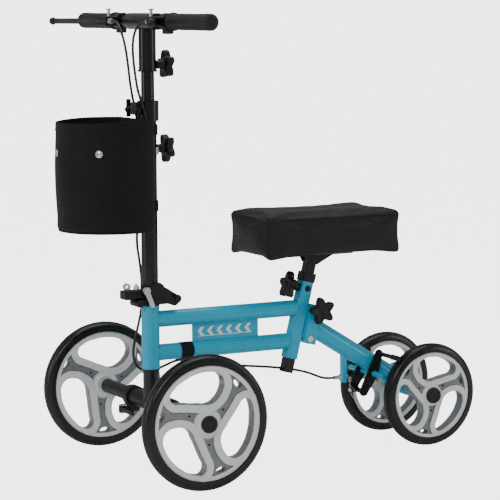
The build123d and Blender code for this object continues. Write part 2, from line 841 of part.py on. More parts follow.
# Brake cables -------------------------------------------------------------


def cable(points):
    """A cable along straight runs and the largest tangent arcs that they allow."""
    radii = []
    for before, corner, after in zip(points, points[1:], points[2:]):
        one = Vector(*corner) - Vector(*before)
        two = Vector(*after) - Vector(*corner)
        turn = math.radians(one.get_angle(two))
        radii.append(0.45 * min(one.length, two.length) / math.tan(turn / 2))
    path = FilletPolyline(*points, radius=radii)
    section = Plane(origin=path @ 0, z_dir=path % 0) * Circle(cable_radius)
    tube = sweep(section, path=path)
    share = tube.volume / (math.pi * cable_radius**2 * path.length)
    print(f"cable {path.length:.0f} mm, least radius {min(radii):.0f}, volume share {share:.3f}")
    return tube


# Routes run from the lever to the joiner, and from the joiner to the rear brake.
cable_left_route = [
    (285, 78, 858), (285, 64, 858), (289.5, 45, 850), (290.5, 30, 833), (289, 21, 812), (286, 17, 786),
    (282, 16.5, 756), (277, 17, 725), (267, 18.8, 697), (261, 19.8, 668), (260, 19.6, 645), (264, 16, 625),
    (268.8, 6, 611), (268.6, -6, 600), (262.5, -17, 590), (257.4, -21, 575), (257.4, -21, 562),
]
cable_right_route = [
    (285, -78, 858), (285, -63, 858), (289.5, -42, 852), (291, -24, 838), (290.5, -12, 818), (288, -7.5, 793),
    (284, -8.5, 764), (279, -12.5, 735), (272, -17.2, 710), (265, -20, 684), (260, -22, 655),
    (257.8, -25, 622), (257.4, -27.4, 590), (257.4, -27.4, 562),
]
cable_main_route = [
    (257, -24.2, 528), (257, -24.2, 508), (259.5, -23.8, 484), (264.5, -23, 458), (265.2, -22.4, 430),
    (260.5, -22.2, 402), (256.8, -22.2, 372), (255.8, -22.3, 340), (257.2, -22, 308), (264, -21.5, 279),
    (272.5, -21, 250), (277.5, -21, 222), (272.5, -21, 199), (257, -20.8, 186.5), (235, -20, 184.8),
    (212, -16.5, 193), (193, -13.5, 201), (175, -13, 202.6), (156, -13.4, 201.6), (134, -15, 196.5),
    (106, -17.5, 189), (72, -19.4, 182), (36, -20.2, 177), (-2, -20.3, 172.5), (-40, -19.8, 167),
    (-76, -18, 160.2), (-105, -12, 152.5),
    (-126, -3, 142.6), (-141, 0, 139), (-157, 0, 139),
]


def cable_joiner():
    """The barrel beside the mast that turns two cables into one."""
    barrel = block(252.6, 261.4, -30.2, -18.2, 528, 562, 2.5)
    clip = block(254.0, 260.0, -18.4, -13.0, 538, 552)
    return barrel + clip - rod_z(column_radius, 500, 600, column_x)


# The whole scooter --------------------------------------------------------

pieces["head_tube"] = head_tube()
pieces["headset_cups"] = headset_cups()
pieces["seat_tube"] = seat_tube()
pieces["top_tube"] = frame_tube(top_tube_height)
pieces["lower_tube"] = frame_tube(lower_tube_height)
pieces["name_plate"] = name_plate()
pieces["seat_collar"] = seat_collar()
pieces["cable_strap"] = cable_strap()

pieces["steerer"] = steerer()
pieces["front_axle"] = Compound(children=[axle_carrier(), axle_tubes()])
pieces["hinge_base"] = hinge_base()
spindles = both_sides(spindle(front_track, 150, column_x, front_wheel_radius))
pieces["steering_pins"] = Compound(children=[spindles, axle_skewers(), hinge_pin()])
pieces["axle_lever_left"] = axle_lever(1)
pieces["axle_lever_right"] = axle_lever(-1)

pieces["hinge_head"] = hinge_head()
pieces["latch_hardware"] = latch_hardware()
pieces["latch_lever"] = latch_lever()
pieces["mast_tube"] = mast_tube()
pieces["height_collar"] = height_collar()
pieces["height_lever"] = height_lever()
pieces["bag"] = bag()
pieces["mast_clips"] = Compound(children=[bag_straps(), cable_joiner()])

pieces["stem_tube"] = stem_tube()
pieces["stem_head"] = stem_head()
pieces["handlebar"] = handlebar()
pieces["grips"] = grips()
pieces["lever_perches"] = lever_perches()
pieces["cable_adjusters"] = cable_adjusters()
for side, hand in (("left", 1), ("right", -1)):
    pieces[f"brake_lever_{side}"] = brake_lever(hand)
    pieces[f"lock_pin_{side}"] = lock_pin(hand)

backward = (-1, 0, 0)
stem_knob_place = turned_to(column_x - sleeve_radius, 0, stem_knob_height, backward)
pieces["stem_knob"] = stem_knob_place * star_knob(15.0, 3.2)
mast_knob_place = turned_to(column_x - column_radius, 0, mast_knob_height, backward)
pieces["mast_knob"] = mast_knob_place * star_knob(15.0, 2.0)
forward = tuple(-part for part in seat_side.x_dir)
knob_x, knob_z = seat_point(seat_knob_up, -seat_tube_side / 2)
pieces["seat_knob"] = turned_to(knob_x, 0, knob_z, forward) * star_knob(17.0, 1.8)
rear_knob_x, rear_knob_z = seat_point(*clevis_knob)
pieces["rear_knob"] = turned_to(
    rear_knob_x, clevis_inside + clevis_wall, rear_knob_z, (0, 1, 0)
) * star_knob(10.0, 2.6)

pieces["seat_post"] = seat_post()
pieces["seat_bracket"] = seat_bracket()
pieces["seat_cushion"] = seat_cushion()

pieces["rear_tube"] = rear_tube() + axle_housing()
pieces["rear_brackets"] = Compound(children=[rear_clevis(), brake_bracket()])
pieces["rear_fasteners"] = Compound(children=[pivot_bolt(), cable_stop()])
pieces["rear_axle"] = rear_axle()
pieces["brake_rocker"] = brake_rocker()
pieces["brake_shoes"] = brake_shoes()
pieces["brake_spring"] = brake_spring()

for place, (radius, height, hand, first, x, y) in wheels.items():
    outward = 1 if y > 0 else -1
    pieces[f"tyre_{place}"] = tyre(radius, height, x, y, radius)
    pieces[f"wheel_{place}"] = wheel(radius, height, hand, first, x, y, radius)
    pieces[f"hub_cap_{place}"] = hub_cap(outward, x, y, radius)

pieces["cables_upper"] = Compound(children=[cable(cable_left_route), cable(cable_right_route)])
pieces["cable_main"] = cable(cable_main_route)

os.makedirs("parts", exist_ok=True)
for name, shape in pieces.items():
    export_step(shape, f"parts/{name}.step")
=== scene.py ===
import math

import bmesh
import bpy
from mathutils import Matrix, Vector
from mathutils.bvhtree import BVHTree


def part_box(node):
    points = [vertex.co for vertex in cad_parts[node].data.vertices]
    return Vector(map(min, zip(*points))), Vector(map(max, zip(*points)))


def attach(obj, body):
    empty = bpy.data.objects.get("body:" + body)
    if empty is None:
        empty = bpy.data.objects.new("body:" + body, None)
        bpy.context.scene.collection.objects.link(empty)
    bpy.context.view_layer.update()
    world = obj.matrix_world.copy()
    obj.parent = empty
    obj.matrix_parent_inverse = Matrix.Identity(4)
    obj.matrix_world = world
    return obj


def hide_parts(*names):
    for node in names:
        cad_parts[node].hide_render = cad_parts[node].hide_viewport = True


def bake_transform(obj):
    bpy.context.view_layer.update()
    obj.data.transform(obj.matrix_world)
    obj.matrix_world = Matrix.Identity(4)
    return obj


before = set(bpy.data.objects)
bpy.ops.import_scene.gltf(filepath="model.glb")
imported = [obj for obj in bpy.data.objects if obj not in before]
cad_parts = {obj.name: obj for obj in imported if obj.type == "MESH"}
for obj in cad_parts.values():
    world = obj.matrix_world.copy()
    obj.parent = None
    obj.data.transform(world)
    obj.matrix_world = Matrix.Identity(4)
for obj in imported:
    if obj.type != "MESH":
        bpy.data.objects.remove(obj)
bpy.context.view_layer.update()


# Small helpers for meshes ---------------------------------------------------


def placed(name, data):
    """A new object in the scene that holds this data."""
    thing = bpy.data.objects.new(name, data)
    bpy.context.scene.collection.objects.link(thing)
    return thing


def evaluated(thing):
    """A new mesh of the object as its modifiers or curve settings leave it."""
    graph = bpy.context.evaluated_depsgraph_get()
    return bpy.data.meshes.new_from_object(thing.evaluated_get(graph))


def facing(origin, direction, turn=0.0):
    """The placing that stands +Z along the direction at origin, turned about it."""
    stand = Vector(direction).to_track_quat("Z", "Y").to_matrix().to_4x4()
    return Matrix.Translation(origin) @ stand @ Matrix.Rotation(turn, 4, "Z")


def skinned(rows, around):
    """The faces between rings of points that are each this many points around."""
    faces = []
    for row in range(rows - 1):
        low, high = row * around, (row + 1) * around
        for step in range(around):
            after = (step + 1) % around
            faces.append((low + step, low + after, high + after, high + step))
    return faces


def ends(rows, around):
    """The faces that close the first ring and the last."""
    last = (rows - 1) * around
    return [tuple(range(around))[::-1], tuple(range(last, last + around))]


def joined_shells(*shells):
    """Several (vertices, faces) shells as one."""
    points, faces = [], []
    for some, their_faces in shells:
        start = len(points)
        points += [Vector(p) for p in some]
        faces += [tuple(start + i for i in face) for face in their_faces]
    return points, faces


def stood(shell, origin, direction=(0, 0, 1), turn=0.0):
    """A shell made on +Z, stood at origin so that +Z becomes the direction."""
    points, faces = shell
    place = facing(origin, direction, turn)
    return [place @ Vector(p) for p in points], faces


def turned(profile, steps=64, ring=False):
    """A turned shell round +Z from (height, radius) pairs; a ring's profile is a closed loop."""
    points = []
    for height, radius in profile:
        for step in range(steps):
            angle = math.tau * step / steps
            points.append((radius * math.cos(angle), radius * math.sin(angle), height))
    rows = len(profile)
    if not ring:
        return points, skinned(rows, steps) + ends(rows, steps)
    last = (rows - 1) * steps
    back = [(last + i, last + (i + 1) % steps, (i + 1) % steps, i) for i in range(steps)]
    return points, skinned(rows, steps) + back


def swept(line, radius, sides=14):
    """A tube along a line of points, closed at its ends."""
    line = [Vector(p) for p in line]
    points = []
    side = (line[1] - line[0]).orthogonal().normalized()
    for number, place in enumerate(line):
        along = (line[min(number + 1, len(line) - 1)] - line[max(number - 1, 0)]).normalized()
        side = (side - along * side.dot(along)).normalized()
        other = along.cross(side)
        for step in range(sides):
            angle = math.tau * step / sides
            points.append(place + radius * (side * math.cos(angle) + other * math.sin(angle)))
    return points, skinned(len(line), sides) + ends(len(line), sides)


def made(name, shell, finish, crease=35.0):
    """A piece from a shell: doubles merged, faces outward, smooth up to the crease angle."""
    points, faces = shell
    mesh = bpy.data.meshes.new(name)
    mesh.from_pydata([tuple(p) for p in points], [], faces)
    work = bmesh.new()
    work.from_mesh(mesh)
    bmesh.ops.remove_doubles(work, verts=work.verts, dist=1e-6)
    bmesh.ops.recalc_face_normals(work, faces=work.faces)
    work.to_mesh(mesh)
    work.free()
    mesh.shade_smooth()
    mesh.set_sharp_from_angle(angle=math.radians(crease))
    mesh.materials.append(finish)
    piece = placed(name, mesh)
    return piece


def settled(piece):
    """The piece with its modifiers turned into its mesh."""
    mesh = evaluated(piece)
    mesh.name = piece.name
    piece.modifiers.clear()
    piece.data = mesh
    return piece


# Sizes that the wheels share ---------------------------------------------------

WEB_HALF = 0.009
BAND_HALF = 0.0134
CROWN_RADIUS = 0.020
FRONT_RIM = 0.1078
FRONT_WHEEL_Y = 0.2325
REAR_WHEEL_Y = 0.086
BETWEEN_WHEELS_Y = 0.15
# Which way each wheel's windows curl, and the angle that its first window starts from.
WHEEL_TURNS = {"front_left": (1, -3), "front_right": (1, -20), "rear_left": (-1, 68), "rear_right": (-1, 70)}


# Materials ------------------------------------------------------------------


def add(tree, kind, inputs=(), **settings):
    """A node; each input is given a value, or the socket that feeds it."""
    new = tree.nodes.new(kind)
    for name, value in settings.items():
        setattr(new, name, value)
    for name, value in dict(inputs).items():
        if isinstance(value, bpy.types.NodeSocket):
            tree.links.new(value, new.inputs[name])
        else:
            new.inputs[name].default_value = value
    return new


def math_node(tree, operation, one, two=0.0, three=0.0):
    return add(tree, "ShaderNodeMath", {0: one, 1: two, 2: three}, operation=operation).outputs[0]


def new_finish(name, colour, roughness, metallic=0.0, sockets=()):
    """A material, its node tree, its shader, and the piece's own coordinates."""
    material = bpy.data.materials.new(name)
    material.use_nodes = True
    tree = material.node_tree
    shader = tree.nodes["Principled BSDF"]
    shader.inputs["Base Color"].default_value = (*colour, 1.0)
    shader.inputs["Roughness"].default_value = roughness
    shader.inputs["Metallic"].default_value = metallic
    for socket, value in dict(sockets).items():
        shader.inputs[socket].default_value = value
    place = tree.nodes.new("ShaderNodeTexCoord").outputs["Object"]
    return material, tree, shader, place


def noise(tree, place, scale, detail=3.0, rough=0.55):
    values = {"Vector": place, "Scale": scale, "Detail": detail, "Roughness": rough}
    return add(tree, "ShaderNodeTexNoise", values).outputs["Fac"]


def mottled(tree, shader, pattern, dark, light):
    """The base colour drifts between two close colours."""
    ramp = add(tree, "ShaderNodeValToRGB", {"Fac": pattern})
    ramp.color_ramp.elements[0].position = 0.3
    ramp.color_ramp.elements[0].color = (*dark, 1.0)
    ramp.color_ramp.elements[1].position = 0.72
    ramp.color_ramp.elements[1].color = (*light, 1.0)
    tree.links.new(ramp.outputs["Color"], shader.inputs["Base Color"])


def uneven(tree, shader, pattern, low, high):
    """The roughness drifts between two values."""
    values = {"Value": pattern, "From Min": 0.3, "From Max": 0.7, "To Min": low, "To Max": high}
    spread = add(tree, "ShaderNodeMapRange", values)
    tree.links.new(spread.outputs["Result"], shader.inputs["Roughness"])


def raised(tree, shader, height, depth, strength=1.0, edge=0.0):
    """The surface rises by the height pattern; edge is the rounding of its corners."""
    values = {"Height": height, "Distance": depth, "Strength": strength}
    if edge:
        values["Normal"] = add(tree, "ShaderNodeBevel", {"Radius": edge}, samples=4).outputs["Normal"]
    bump = add(tree, "ShaderNodeBump", values)
    tree.links.new(bump.outputs["Normal"], shader.inputs["Normal"])


def sky_blue_paint():
    coat = {"Coat Weight": 0.35, "Coat Roughness": 0.05, "Specular IOR Level": 0.3}
    material, tree, shader, place = new_finish("sky_blue_paint", (0.006, 0.37, 0.61), 0.3, 0.0, coat)
    mottled(tree, shader, noise(tree, place, 7.0), (0.0, 0.37, 0.57), (0.0, 0.43, 0.65))
    uneven(tree, shader, noise(tree, place, 60.0), 0.24, 0.36)
    raised(tree, shader, noise(tree, place, 700.0, 2.0), 0.00004, 0.4)
    return material


def black_enamel():
    coat = {"Coat Weight": 0.25, "Coat Roughness": 0.1, "Specular IOR Level": 0.35}
    material, tree, shader, place = new_finish("black_enamel", (0.012, 0.012, 0.013), 0.28, 0.0, coat)
    mottled(tree, shader, noise(tree, place, 9.0), (0.0014, 0.0014, 0.0015), (0.0035, 0.0035, 0.0037))
    uneven(tree, shader, noise(tree, place, 45.0), 0.24, 0.38)
    raised(tree, shader, noise(tree, place, 800.0, 2.0), 0.00004, 0.4)
    return material


def black_casting():
    sockets = {"Specular IOR Level": 0.4}
    material, tree, shader, place = new_finish("black_casting", (0.008,) * 3, 0.42, 0.0, sockets)
    mottled(tree, shader, noise(tree, place, 30.0), (0.002, 0.002, 0.002), (0.005, 0.005, 0.0052))
    uneven(tree, shader, noise(tree, place, 90.0), 0.34, 0.5)
    raised(tree, shader, noise(tree, place, 420.0, 4.0), 0.00012, 0.6, 0.0011)
    return material


def moulded_black():
    sockets = {"Specular IOR Level": 0.4}
    material, tree, shader, place = new_finish("moulded_black", (0.009,) * 3, 0.45, 0.0, sockets)
    mottled(tree, shader, noise(tree, place, 40.0), (0.0025, 0.0025, 0.0025), (0.006, 0.006, 0.0062))
    uneven(tree, shader, noise(tree, place, 150.0), 0.36, 0.52)
    raised(tree, shader, noise(tree, place, 1600.0, 2.0), 0.00008, 0.7, 0.0008)
    return material


def plated_steel():
    material, tree, shader, place = new_finish("plated_steel", (0.72, 0.72, 0.735), 0.2, 1.0)
    mottled(tree, shader, noise(tree, place, 60.0), (0.60, 0.60, 0.62), (0.80, 0.80, 0.81))
    uneven(tree, shader, noise(tree, place, 300.0), 0.14, 0.30)
    raised(tree, shader, noise(tree, place, 900.0, 3.0), 0.00004, 0.6, 0.0006)
    return material


def wheel_grey():
    """Silver-grey plastic with painted shade: the colour is darker on the sunken web between the raised
    bands, standing in for the shade in those recesses.
    """
    coat = {"Coat Weight": 0.4, "Coat Roughness": 0.1}
    material, tree, shader, place = new_finish("wheel_grey", (0.66, 0.68, 0.685), 0.3, 0.0, coat)
    parts = add(tree, "ShaderNodeSeparateXYZ", {"Vector": place})
    across = math_node(tree, "ABSOLUTE", parts.outputs["Y"])
    front = math_node(tree, "GREATER_THAN", across, BETWEEN_WHEELS_Y)
    apart = math_node(tree, "MULTIPLY", front, FRONT_WHEEL_Y - REAR_WHEEL_Y)
    middle = math_node(tree, "ADD", apart, REAR_WHEEL_Y)
    depth = math_node(tree, "ABSOLUTE", math_node(tree, "SUBTRACT", across, middle))
    above_web = math_node(tree, "SUBTRACT", depth, WEB_HALF - 0.0002)
    # painted shade mask: 0 on the sunken web, rising to 1 on the raised bands and rim
    high = math_node(tree, "SMOOTH_MIN", math_node(tree, "MULTIPLY", above_web, 250.0), 1.0)
    level = math_node(tree, "MAXIMUM", high, 0.0)
    cloud = math_node(tree, "MULTIPLY", noise(tree, place, 12.0), 0.25)
    share = math_node(tree, "ADD", math_node(tree, "MULTIPLY", level, 0.75), cloud)
    # the ramp's dark end is painted shade on the sunken web; the cloud adds random tone
    mottled(tree, shader, share, (0.19, 0.20, 0.205), (0.72, 0.74, 0.745))
    uneven(tree, shader, noise(tree, place, 90.0), 0.22, 0.34)
    raised(tree, shader, noise(tree, place, 1100.0, 2.0), 0.00004, 0.4)
    return material


def tyre_rubber():
    sockets = {"Specular IOR Level": 0.45}
    material, tree, shader, place = new_finish("tyre_rubber", (0.003,) * 3, 0.3, 0.0, sockets)
    mottled(tree, shader, noise(tree, place, 35.0), (0.0016, 0.0016, 0.0016), (0.0045, 0.0045, 0.0043))
    uneven(tree, shader, noise(tree, place, 70.0), 0.2, 0.34)
    raised(tree, shader, noise(tree, place, 1300.0, 3.0), 0.00012, 0.8)
    return material


def grip_rubber():
    material, tree, shader, place = new_finish("grip_rubber", (0.02, 0.02, 0.02), 0.62)
    mottled(tree, shader, noise(tree, place, 80.0), (0.003, 0.003, 0.003), (0.0075, 0.0075, 0.0075))
    uneven(tree, shader, noise(tree, place, 200.0), 0.52, 0.72)
    along = add(tree, "ShaderNodeSeparateXYZ", {"Vector": place}).outputs["Y"]
    rings = math_node(tree, "SINE", math_node(tree, "MULTIPLY", along, 1900.0))
    grain = noise(tree, place, 900.0, 3.0)
    raised(tree, shader, math_node(tree, "MULTIPLY_ADD", rings, 0.5, grain), 0.00025, 0.7)
    return material


def cable_jacket():
    material, tree, shader, place = new_finish("cable_jacket", (0.013, 0.013, 0.013), 0.36)
    mottled(tree, shader, noise(tree, place, 90.0), (0.009, 0.009, 0.009), (0.019, 0.019, 0.019))
    uneven(tree, shader, noise(tree, place, 240.0), 0.3, 0.44)
    raised(tree, shader, noise(tree, place, 1500.0, 2.0), 0.00005, 0.6)
    return material


def weave(tree, across, along, pitch):
    """A plain weave's height: threads that pass over and under by turns."""
    turn = math.pi / pitch
    warp = math_node(tree, "SINE", math_node(tree, "MULTIPLY", across, turn))
    weft = math_node(tree, "SINE", math_node(tree, "MULTIPLY", along, turn))
    over = math_node(tree, "MULTIPLY", warp, weft)
    ridges = math_node(tree, "ADD", math_node(tree, "ABSOLUTE", warp), math_node(tree, "ABSOLUTE", weft))
    return math_node(tree, "MULTIPLY_ADD", over, 0.6, ridges)


def woven_cloth(name, dark, light, pitch, sheen):
    """Cloth whose weave follows the piece's own map, which is in metres."""
    sockets = {"Sheen Weight": sheen, "Sheen Roughness": 0.4, "Specular IOR Level": 0.25}
    material, tree, shader, place = new_finish(name, light, 0.75, 0.0, sockets)
    cloth = add(tree, "ShaderNodeUVMap", uv_map="cloth").outputs["UV"]
    parts = add(tree, "ShaderNodeSeparateXYZ", {"Vector": cloth})
    threads = weave(tree, parts.outputs["X"], parts.outputs["Y"], pitch)
    blotches = noise(tree, place, 26.0)
    mix = math_node(tree, "MULTIPLY_ADD", threads, 0.12, math_node(tree, "MULTIPLY", blotches, 0.75))
    mottled(tree, shader, mix, dark, light)
    uneven(tree, shader, blotches, 0.62, 0.8)
    creases = noise(tree, place, 18.0, 2.0)
    height = math_node(tree, "MULTIPLY_ADD", creases, 6.0, threads)
    raised(tree, shader, height, 0.00022, 0.7)
    return material


def seat_vinyl(seam_height):
    """Grained vinyl: smooth above the seam, a fine embossed grid below it."""
    sockets = {"Specular IOR Level": 0.35}
    material, tree, shader, place = new_finish("seat_vinyl", (0.028, 0.028, 0.03), 0.46, 0.0, sockets)
    parts = add(tree, "ShaderNodeSeparateXYZ", {"Vector": place}).outputs
    facing = add(tree, "ShaderNodeNewGeometry").outputs["Normal"]
    facing = add(tree, "ShaderNodeSeparateXYZ", {"Vector": facing}).outputs
    turn = math.tau / 0.0046

    def lines(along, face):
        wave = math_node(tree, "SINE", math_node(tree, "MULTIPLY", along, turn))
        ridge = math_node(tree, "POWER", math_node(tree, "ABSOLUTE", wave), 0.6)
        return math_node(tree, "MULTIPLY", ridge, math_node(tree, "ABSOLUTE", face))

    grid = math_node(tree, "ADD", lines(parts["X"], facing["Y"]), lines(parts["Y"], facing["X"]))
    upright = math_node(tree, "SINE", math_node(tree, "MULTIPLY", parts["Z"], turn))
    upright = math_node(tree, "POWER", math_node(tree, "ABSOLUTE", upright), 0.6)
    grid = math_node(tree, "ADD", grid, upright)
    values = {
        "Value": parts["Z"], "From Min": seam_height - 0.001, "From Max": seam_height + 0.001,
        "To Min": 1.0, "To Max": 0.0,
    }
    side = add(tree, "ShaderNodeMapRange", values).outputs["Result"]
    values = {"Vector": place, "Scale": 620.0, "Randomness": 0.9}
    grain = add(tree, "ShaderNodeTexVoronoi", values, feature="DISTANCE_TO_EDGE").outputs["Distance"]
    grain = math_node(tree, "MINIMUM", math_node(tree, "MULTIPLY", grain, 3.0), 0.6)
    height = math_node(tree, "MULTIPLY_ADD", math_node(tree, "MULTIPLY", grid, side), 0.9, grain)
    mottled(tree, shader, noise(tree, place, 14.0), (0.0022, 0.0022, 0.0024), (0.005, 0.005, 0.0055))
    uneven(tree, shader, noise(tree, place, 55.0), 0.40, 0.54)
    raised(tree, shader, height, 0.0003, 0.8)
    return material


def marking_white():
    material, tree, shader, place = new_finish("marking_white", (0.86, 0.87, 0.87), 0.4)
    mottled(tree, shader, noise(tree, place, 60.0), (0.80, 0.81, 0.81), (0.9, 0.91, 0.91))
    uneven(tree, shader, noise(tree, place, 200.0), 0.34, 0.5)
    raised(tree, shader, noise(tree, place, 900.0), 0.00004, 0.5)
    return material


def sewing_thread():
    material, tree, shader, place = new_finish("sewing_thread", (0.03, 0.03, 0.03), 0.7)
    mottled(tree, shader, noise(tree, place, 400.0), (0.018, 0.018, 0.018), (0.045, 0.045, 0.045))
    raised(tree, shader, noise(tree, place, 2600.0), 0.0001, 0.8)
    return material


paint = sky_blue_paint()
enamel = black_enamel()
casting = black_casting()
moulded = moulded_black()
steel = plated_steel()
grey = wheel_grey()
rubber = tyre_rubber()
grip_finish = grip_rubber()
jacket = cable_jacket()
bag_cloth = woven_cloth("bag_cloth", (0.0015, 0.0015, 0.0017), (0.0042, 0.0042, 0.0046), 0.0011, 0.05)
webbing = woven_cloth("webbing", (0.0018, 0.0018, 0.0018), (0.005, 0.005, 0.0052), 0.0018, 0.05)
white = marking_white()
thread = sewing_thread()

finish_of = {
    paint: ["head_tube", "seat_tube", "top_tube", "lower_tube", "name_plate", "rear_tube", "rear_brackets"],
    enamel: ["steerer", "mast_tube", "stem_tube", "stem_head", "handlebar", "seat_post", "height_collar"],
    casting: [
        "front_axle", "hinge_base", "hinge_head", "seat_bracket", "brake_rocker", "axle_lever_left",
        "axle_lever_right", "brake_lever_left", "brake_lever_right", "height_lever",
    ],
    moulded: ["headset_cups", "seat_collar", "lever_perches"],
    steel: [
        "steering_pins", "latch_hardware", "latch_lever", "rear_fasteners", "rear_axle",
        "cable_adjusters", "lock_pin_left", "lock_pin_right",
    ],
    grip_finish: ["brake_shoes"],
    grey: ["wheel_front_left", "wheel_front_right", "wheel_rear_left", "wheel_rear_right"],
}
for finish, names in finish_of.items():
    for name in names:
        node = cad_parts[name]
        if not node.material_slots:
            node.data.materials.append(finish)
        for place in node.material_slots:
            place.link = "OBJECT"
            place.material = finish


# Node setups for what repeats ---------------------------------------------------


def node_setup(name, inputs):
    """An empty geometry node tree with a mesh going in, these named inputs and a mesh coming out."""
    tree = bpy.data.node_groups.new(name, "GeometryNodeTree")
    tree.interface.new_socket("Geometry", in_out="INPUT", socket_type="NodeSocketGeometry")
    for label, kind in inputs.items():
        tree.interface.new_socket(label, in_out="INPUT", socket_type=kind)
    tree.interface.new_socket("Geometry", in_out="OUTPUT", socket_type="NodeSocketGeometry")
    return tree, tree.nodes.new("NodeGroupInput").outputs


def finished_setup(tree, instances, material):
    real = add(tree, "GeometryNodeRealizeInstances", {"Geometry": instances})
    dressed = add(tree, "GeometryNodeSetMaterial", {"Geometry": real.outputs[0], "Material": material})
    add(tree, "NodeGroupOutput", {"Geometry": dressed.outputs[0]})
    return tree


def ring_setup():
    """Copies of the mesh, turned evenly round the Z axis."""
    kinds = {"Count": "NodeSocketInt", "Material": "NodeSocketMaterial"}
    tree, given = node_setup("ring_of_copies", kinds)
    places = add(tree, "GeometryNodePoints", {"Count": given["Count"]})
    number = add(tree, "GeometryNodeInputIndex").outputs[0]
    share = math_node(tree, "DIVIDE", number, given["Count"])
    angle = math_node(tree, "MULTIPLY", share, math.tau)
    turn = add(tree, "ShaderNodeCombineXYZ", {"Z": angle}).outputs[0]
    values = {"Points": places.outputs[0], "Instance": given["Geometry"], "Rotation": turn}
    copies = add(tree, "GeometryNodeInstanceOnPoints", values)
    return finished_setup(tree, copies.outputs[0], given["Material"])


def stitch_setup():
    """Stitches laid end to end along the mesh's edges."""
    kinds = {
        "Spacing": "NodeSocketFloat", "Thickness": "NodeSocketFloat", "Material": "NodeSocketMaterial",
    }
    tree, given = node_setup("row_of_stitches", kinds)
    line = add(tree, "GeometryNodeMeshToCurve", {"Mesh": given["Geometry"]})
    values = {"Curve": line.outputs[0], "Length": given["Spacing"]}
    evenly = add(tree, "GeometryNodeResampleCurve", values, mode="LENGTH")
    bead = add(tree, "GeometryNodeMeshUVSphere", {"Segments": 8, "Rings": 6, "Radius": 0.5})
    length = math_node(tree, "MULTIPLY", given["Spacing"], 0.72)
    size = add(tree, "ShaderNodeCombineXYZ", {"X": length, "Y": given["Thickness"], "Z": given["Thickness"]})
    tangent = add(tree, "GeometryNodeInputTangent").outputs[0]
    turn = add(tree, "FunctionNodeAlignRotationToVector", {"Vector": tangent}, axis="X")
    values = {
        "Points": evenly.outputs[0], "Instance": bead.outputs[0], "Rotation": turn.outputs[0],
        "Scale": size.outputs[0],
    }
    stitches = add(tree, "GeometryNodeInstanceOnPoints", values)
    return finished_setup(tree, stitches.outputs[0], given["Material"])


def applied(piece, tree, values):
    """The piece with the node setup run on it and turned into a plain mesh."""
    modifier = piece.modifiers.new("setup", "NODES")
    modifier.node_group = tree
    sockets = {s.name: s.identifier for s in tree.interface.items_tree if s.in_out == "INPUT"}
    for label, value in values.items():
        modifier[sockets[label]] = value
    settled(piece).data.shade_smooth()
    return piece


ring_of_copies = ring_setup()
row_of_stitches = stitch_setup()


def ring(name, shell, count, finish, origin, direction, turn=0.0, crease=35.0):
    """One mesh of evenly turned copies, stood at its place on the object."""
    piece = applied(made(name, shell, finish), ring_of_copies, {"Count": count, "Material": finish})
    piece.data.transform(facing(origin, direction, turn))
    piece.data.set_sharp_from_angle(angle=math.radians(crease))
    return piece


def stitched(name, line, spacing, thickness, finish, closed=False):
    """A row of stitches along a line of points."""
    mesh = bpy.data.meshes.new(name)
    edges = [(i, i + 1) for i in range(len(line) - 1)]
    if closed:
        edges.append((len(line) - 1, 0))
    mesh.from_pydata([tuple(p) for p in line], edges, [])
    piece = placed(name, mesh)
    values = {"Spacing": spacing, "Thickness": thickness, "Material": finish}
    return applied(piece, row_of_stitches, values)


# Camera, floor and lights ----------------------------------------------------


CAMERA_PLACE = (1.9718, 3.70667, 0.90073)
CAMERA_AZIMUTH, CAMERA_PITCH, CAMERA_ROLL = 27.6228, 6.6951, -0.3665


def place_camera():
    azimuth, pitch, roll = (math.radians(a) for a in (CAMERA_AZIMUTH, CAMERA_PITCH, CAMERA_ROLL))
    back = Vector(
        (math.sin(azimuth) * math.cos(pitch), math.cos(azimuth) * math.cos(pitch), math.sin(pitch))
    )
    right = Vector((-math.cos(azimuth), math.sin(azimuth), 0.0))
    over = back.cross(right)
    across = right * math.cos(roll) + over * math.sin(roll)
    above = over * math.cos(roll) - right * math.sin(roll)
    lens = bpy.data.cameras.new("studio_camera")
    lens.lens = 154.68
    lens.sensor_width = 36.0
    lens.clip_end = 1000.0
    camera = placed("studio_camera", lens)
    turn = Matrix((across, above, back)).transposed().to_4x4()
    camera.matrix_world = Matrix.Translation(CAMERA_PLACE) @ turn
    bpy.context.scene.camera = camera


def softbox(name, position, target, width, height, power):
    light = bpy.data.lights.new(name, "AREA")
    light.shape = "RECTANGLE"
    light.size = width
    light.size_y = height
    light.energy = power
    lamp = placed(name, light)
    aim = Vector(target) - Vector(position)
    turn = aim.to_track_quat("-Z", "Y").to_matrix().to_4x4()
    lamp.matrix_world = Matrix.Translation(position) @ turn


def lay_floor():
    """A wide pale floor that curves up at its far edge and looks bright to the camera."""
    rings = [
        (0.0, 0.6), (0.0, 1.5), (0.0, 4.0), (0.0, 12.0), (0.0, 30.0), (0.6, 38.0), (3.5, 44.0),
        (9.0, 46.0),
    ]
    points, faces = turned(rings, 48)
    faces = [face for face in faces if len(face) == 4] + [tuple(range(48))]
    material, tree, shader, place = new_finish("pale_floor", (0.93, 0.93, 0.93), 0.85)
    mottled(tree, shader, noise(tree, place, 3.0), (0.925, 0.925, 0.927), (0.94, 0.94, 0.94))
    glow = add(tree, "ShaderNodeEmission", {"Color": (1.0, 1.0, 1.0, 1.0), "Strength": 5.6})
    seen = add(tree, "ShaderNodeLightPath").outputs["Is Camera Ray"]
    lit = add(tree, "ShaderNodeMixShader", {"Fac": math_node(tree, "MULTIPLY", seen, 0.7)})
    tree.links.new(shader.outputs[0], lit.inputs[1])
    tree.links.new(glow.outputs[0], lit.inputs[2])
    tree.links.new(lit.outputs[0], tree.nodes["Material Output"].inputs["Surface"])
    mesh = bpy.data.meshes.new("floor")
    mesh.from_pydata(points, [], faces)
    mesh.materials.append(material)
    floor = placed("floor", mesh)


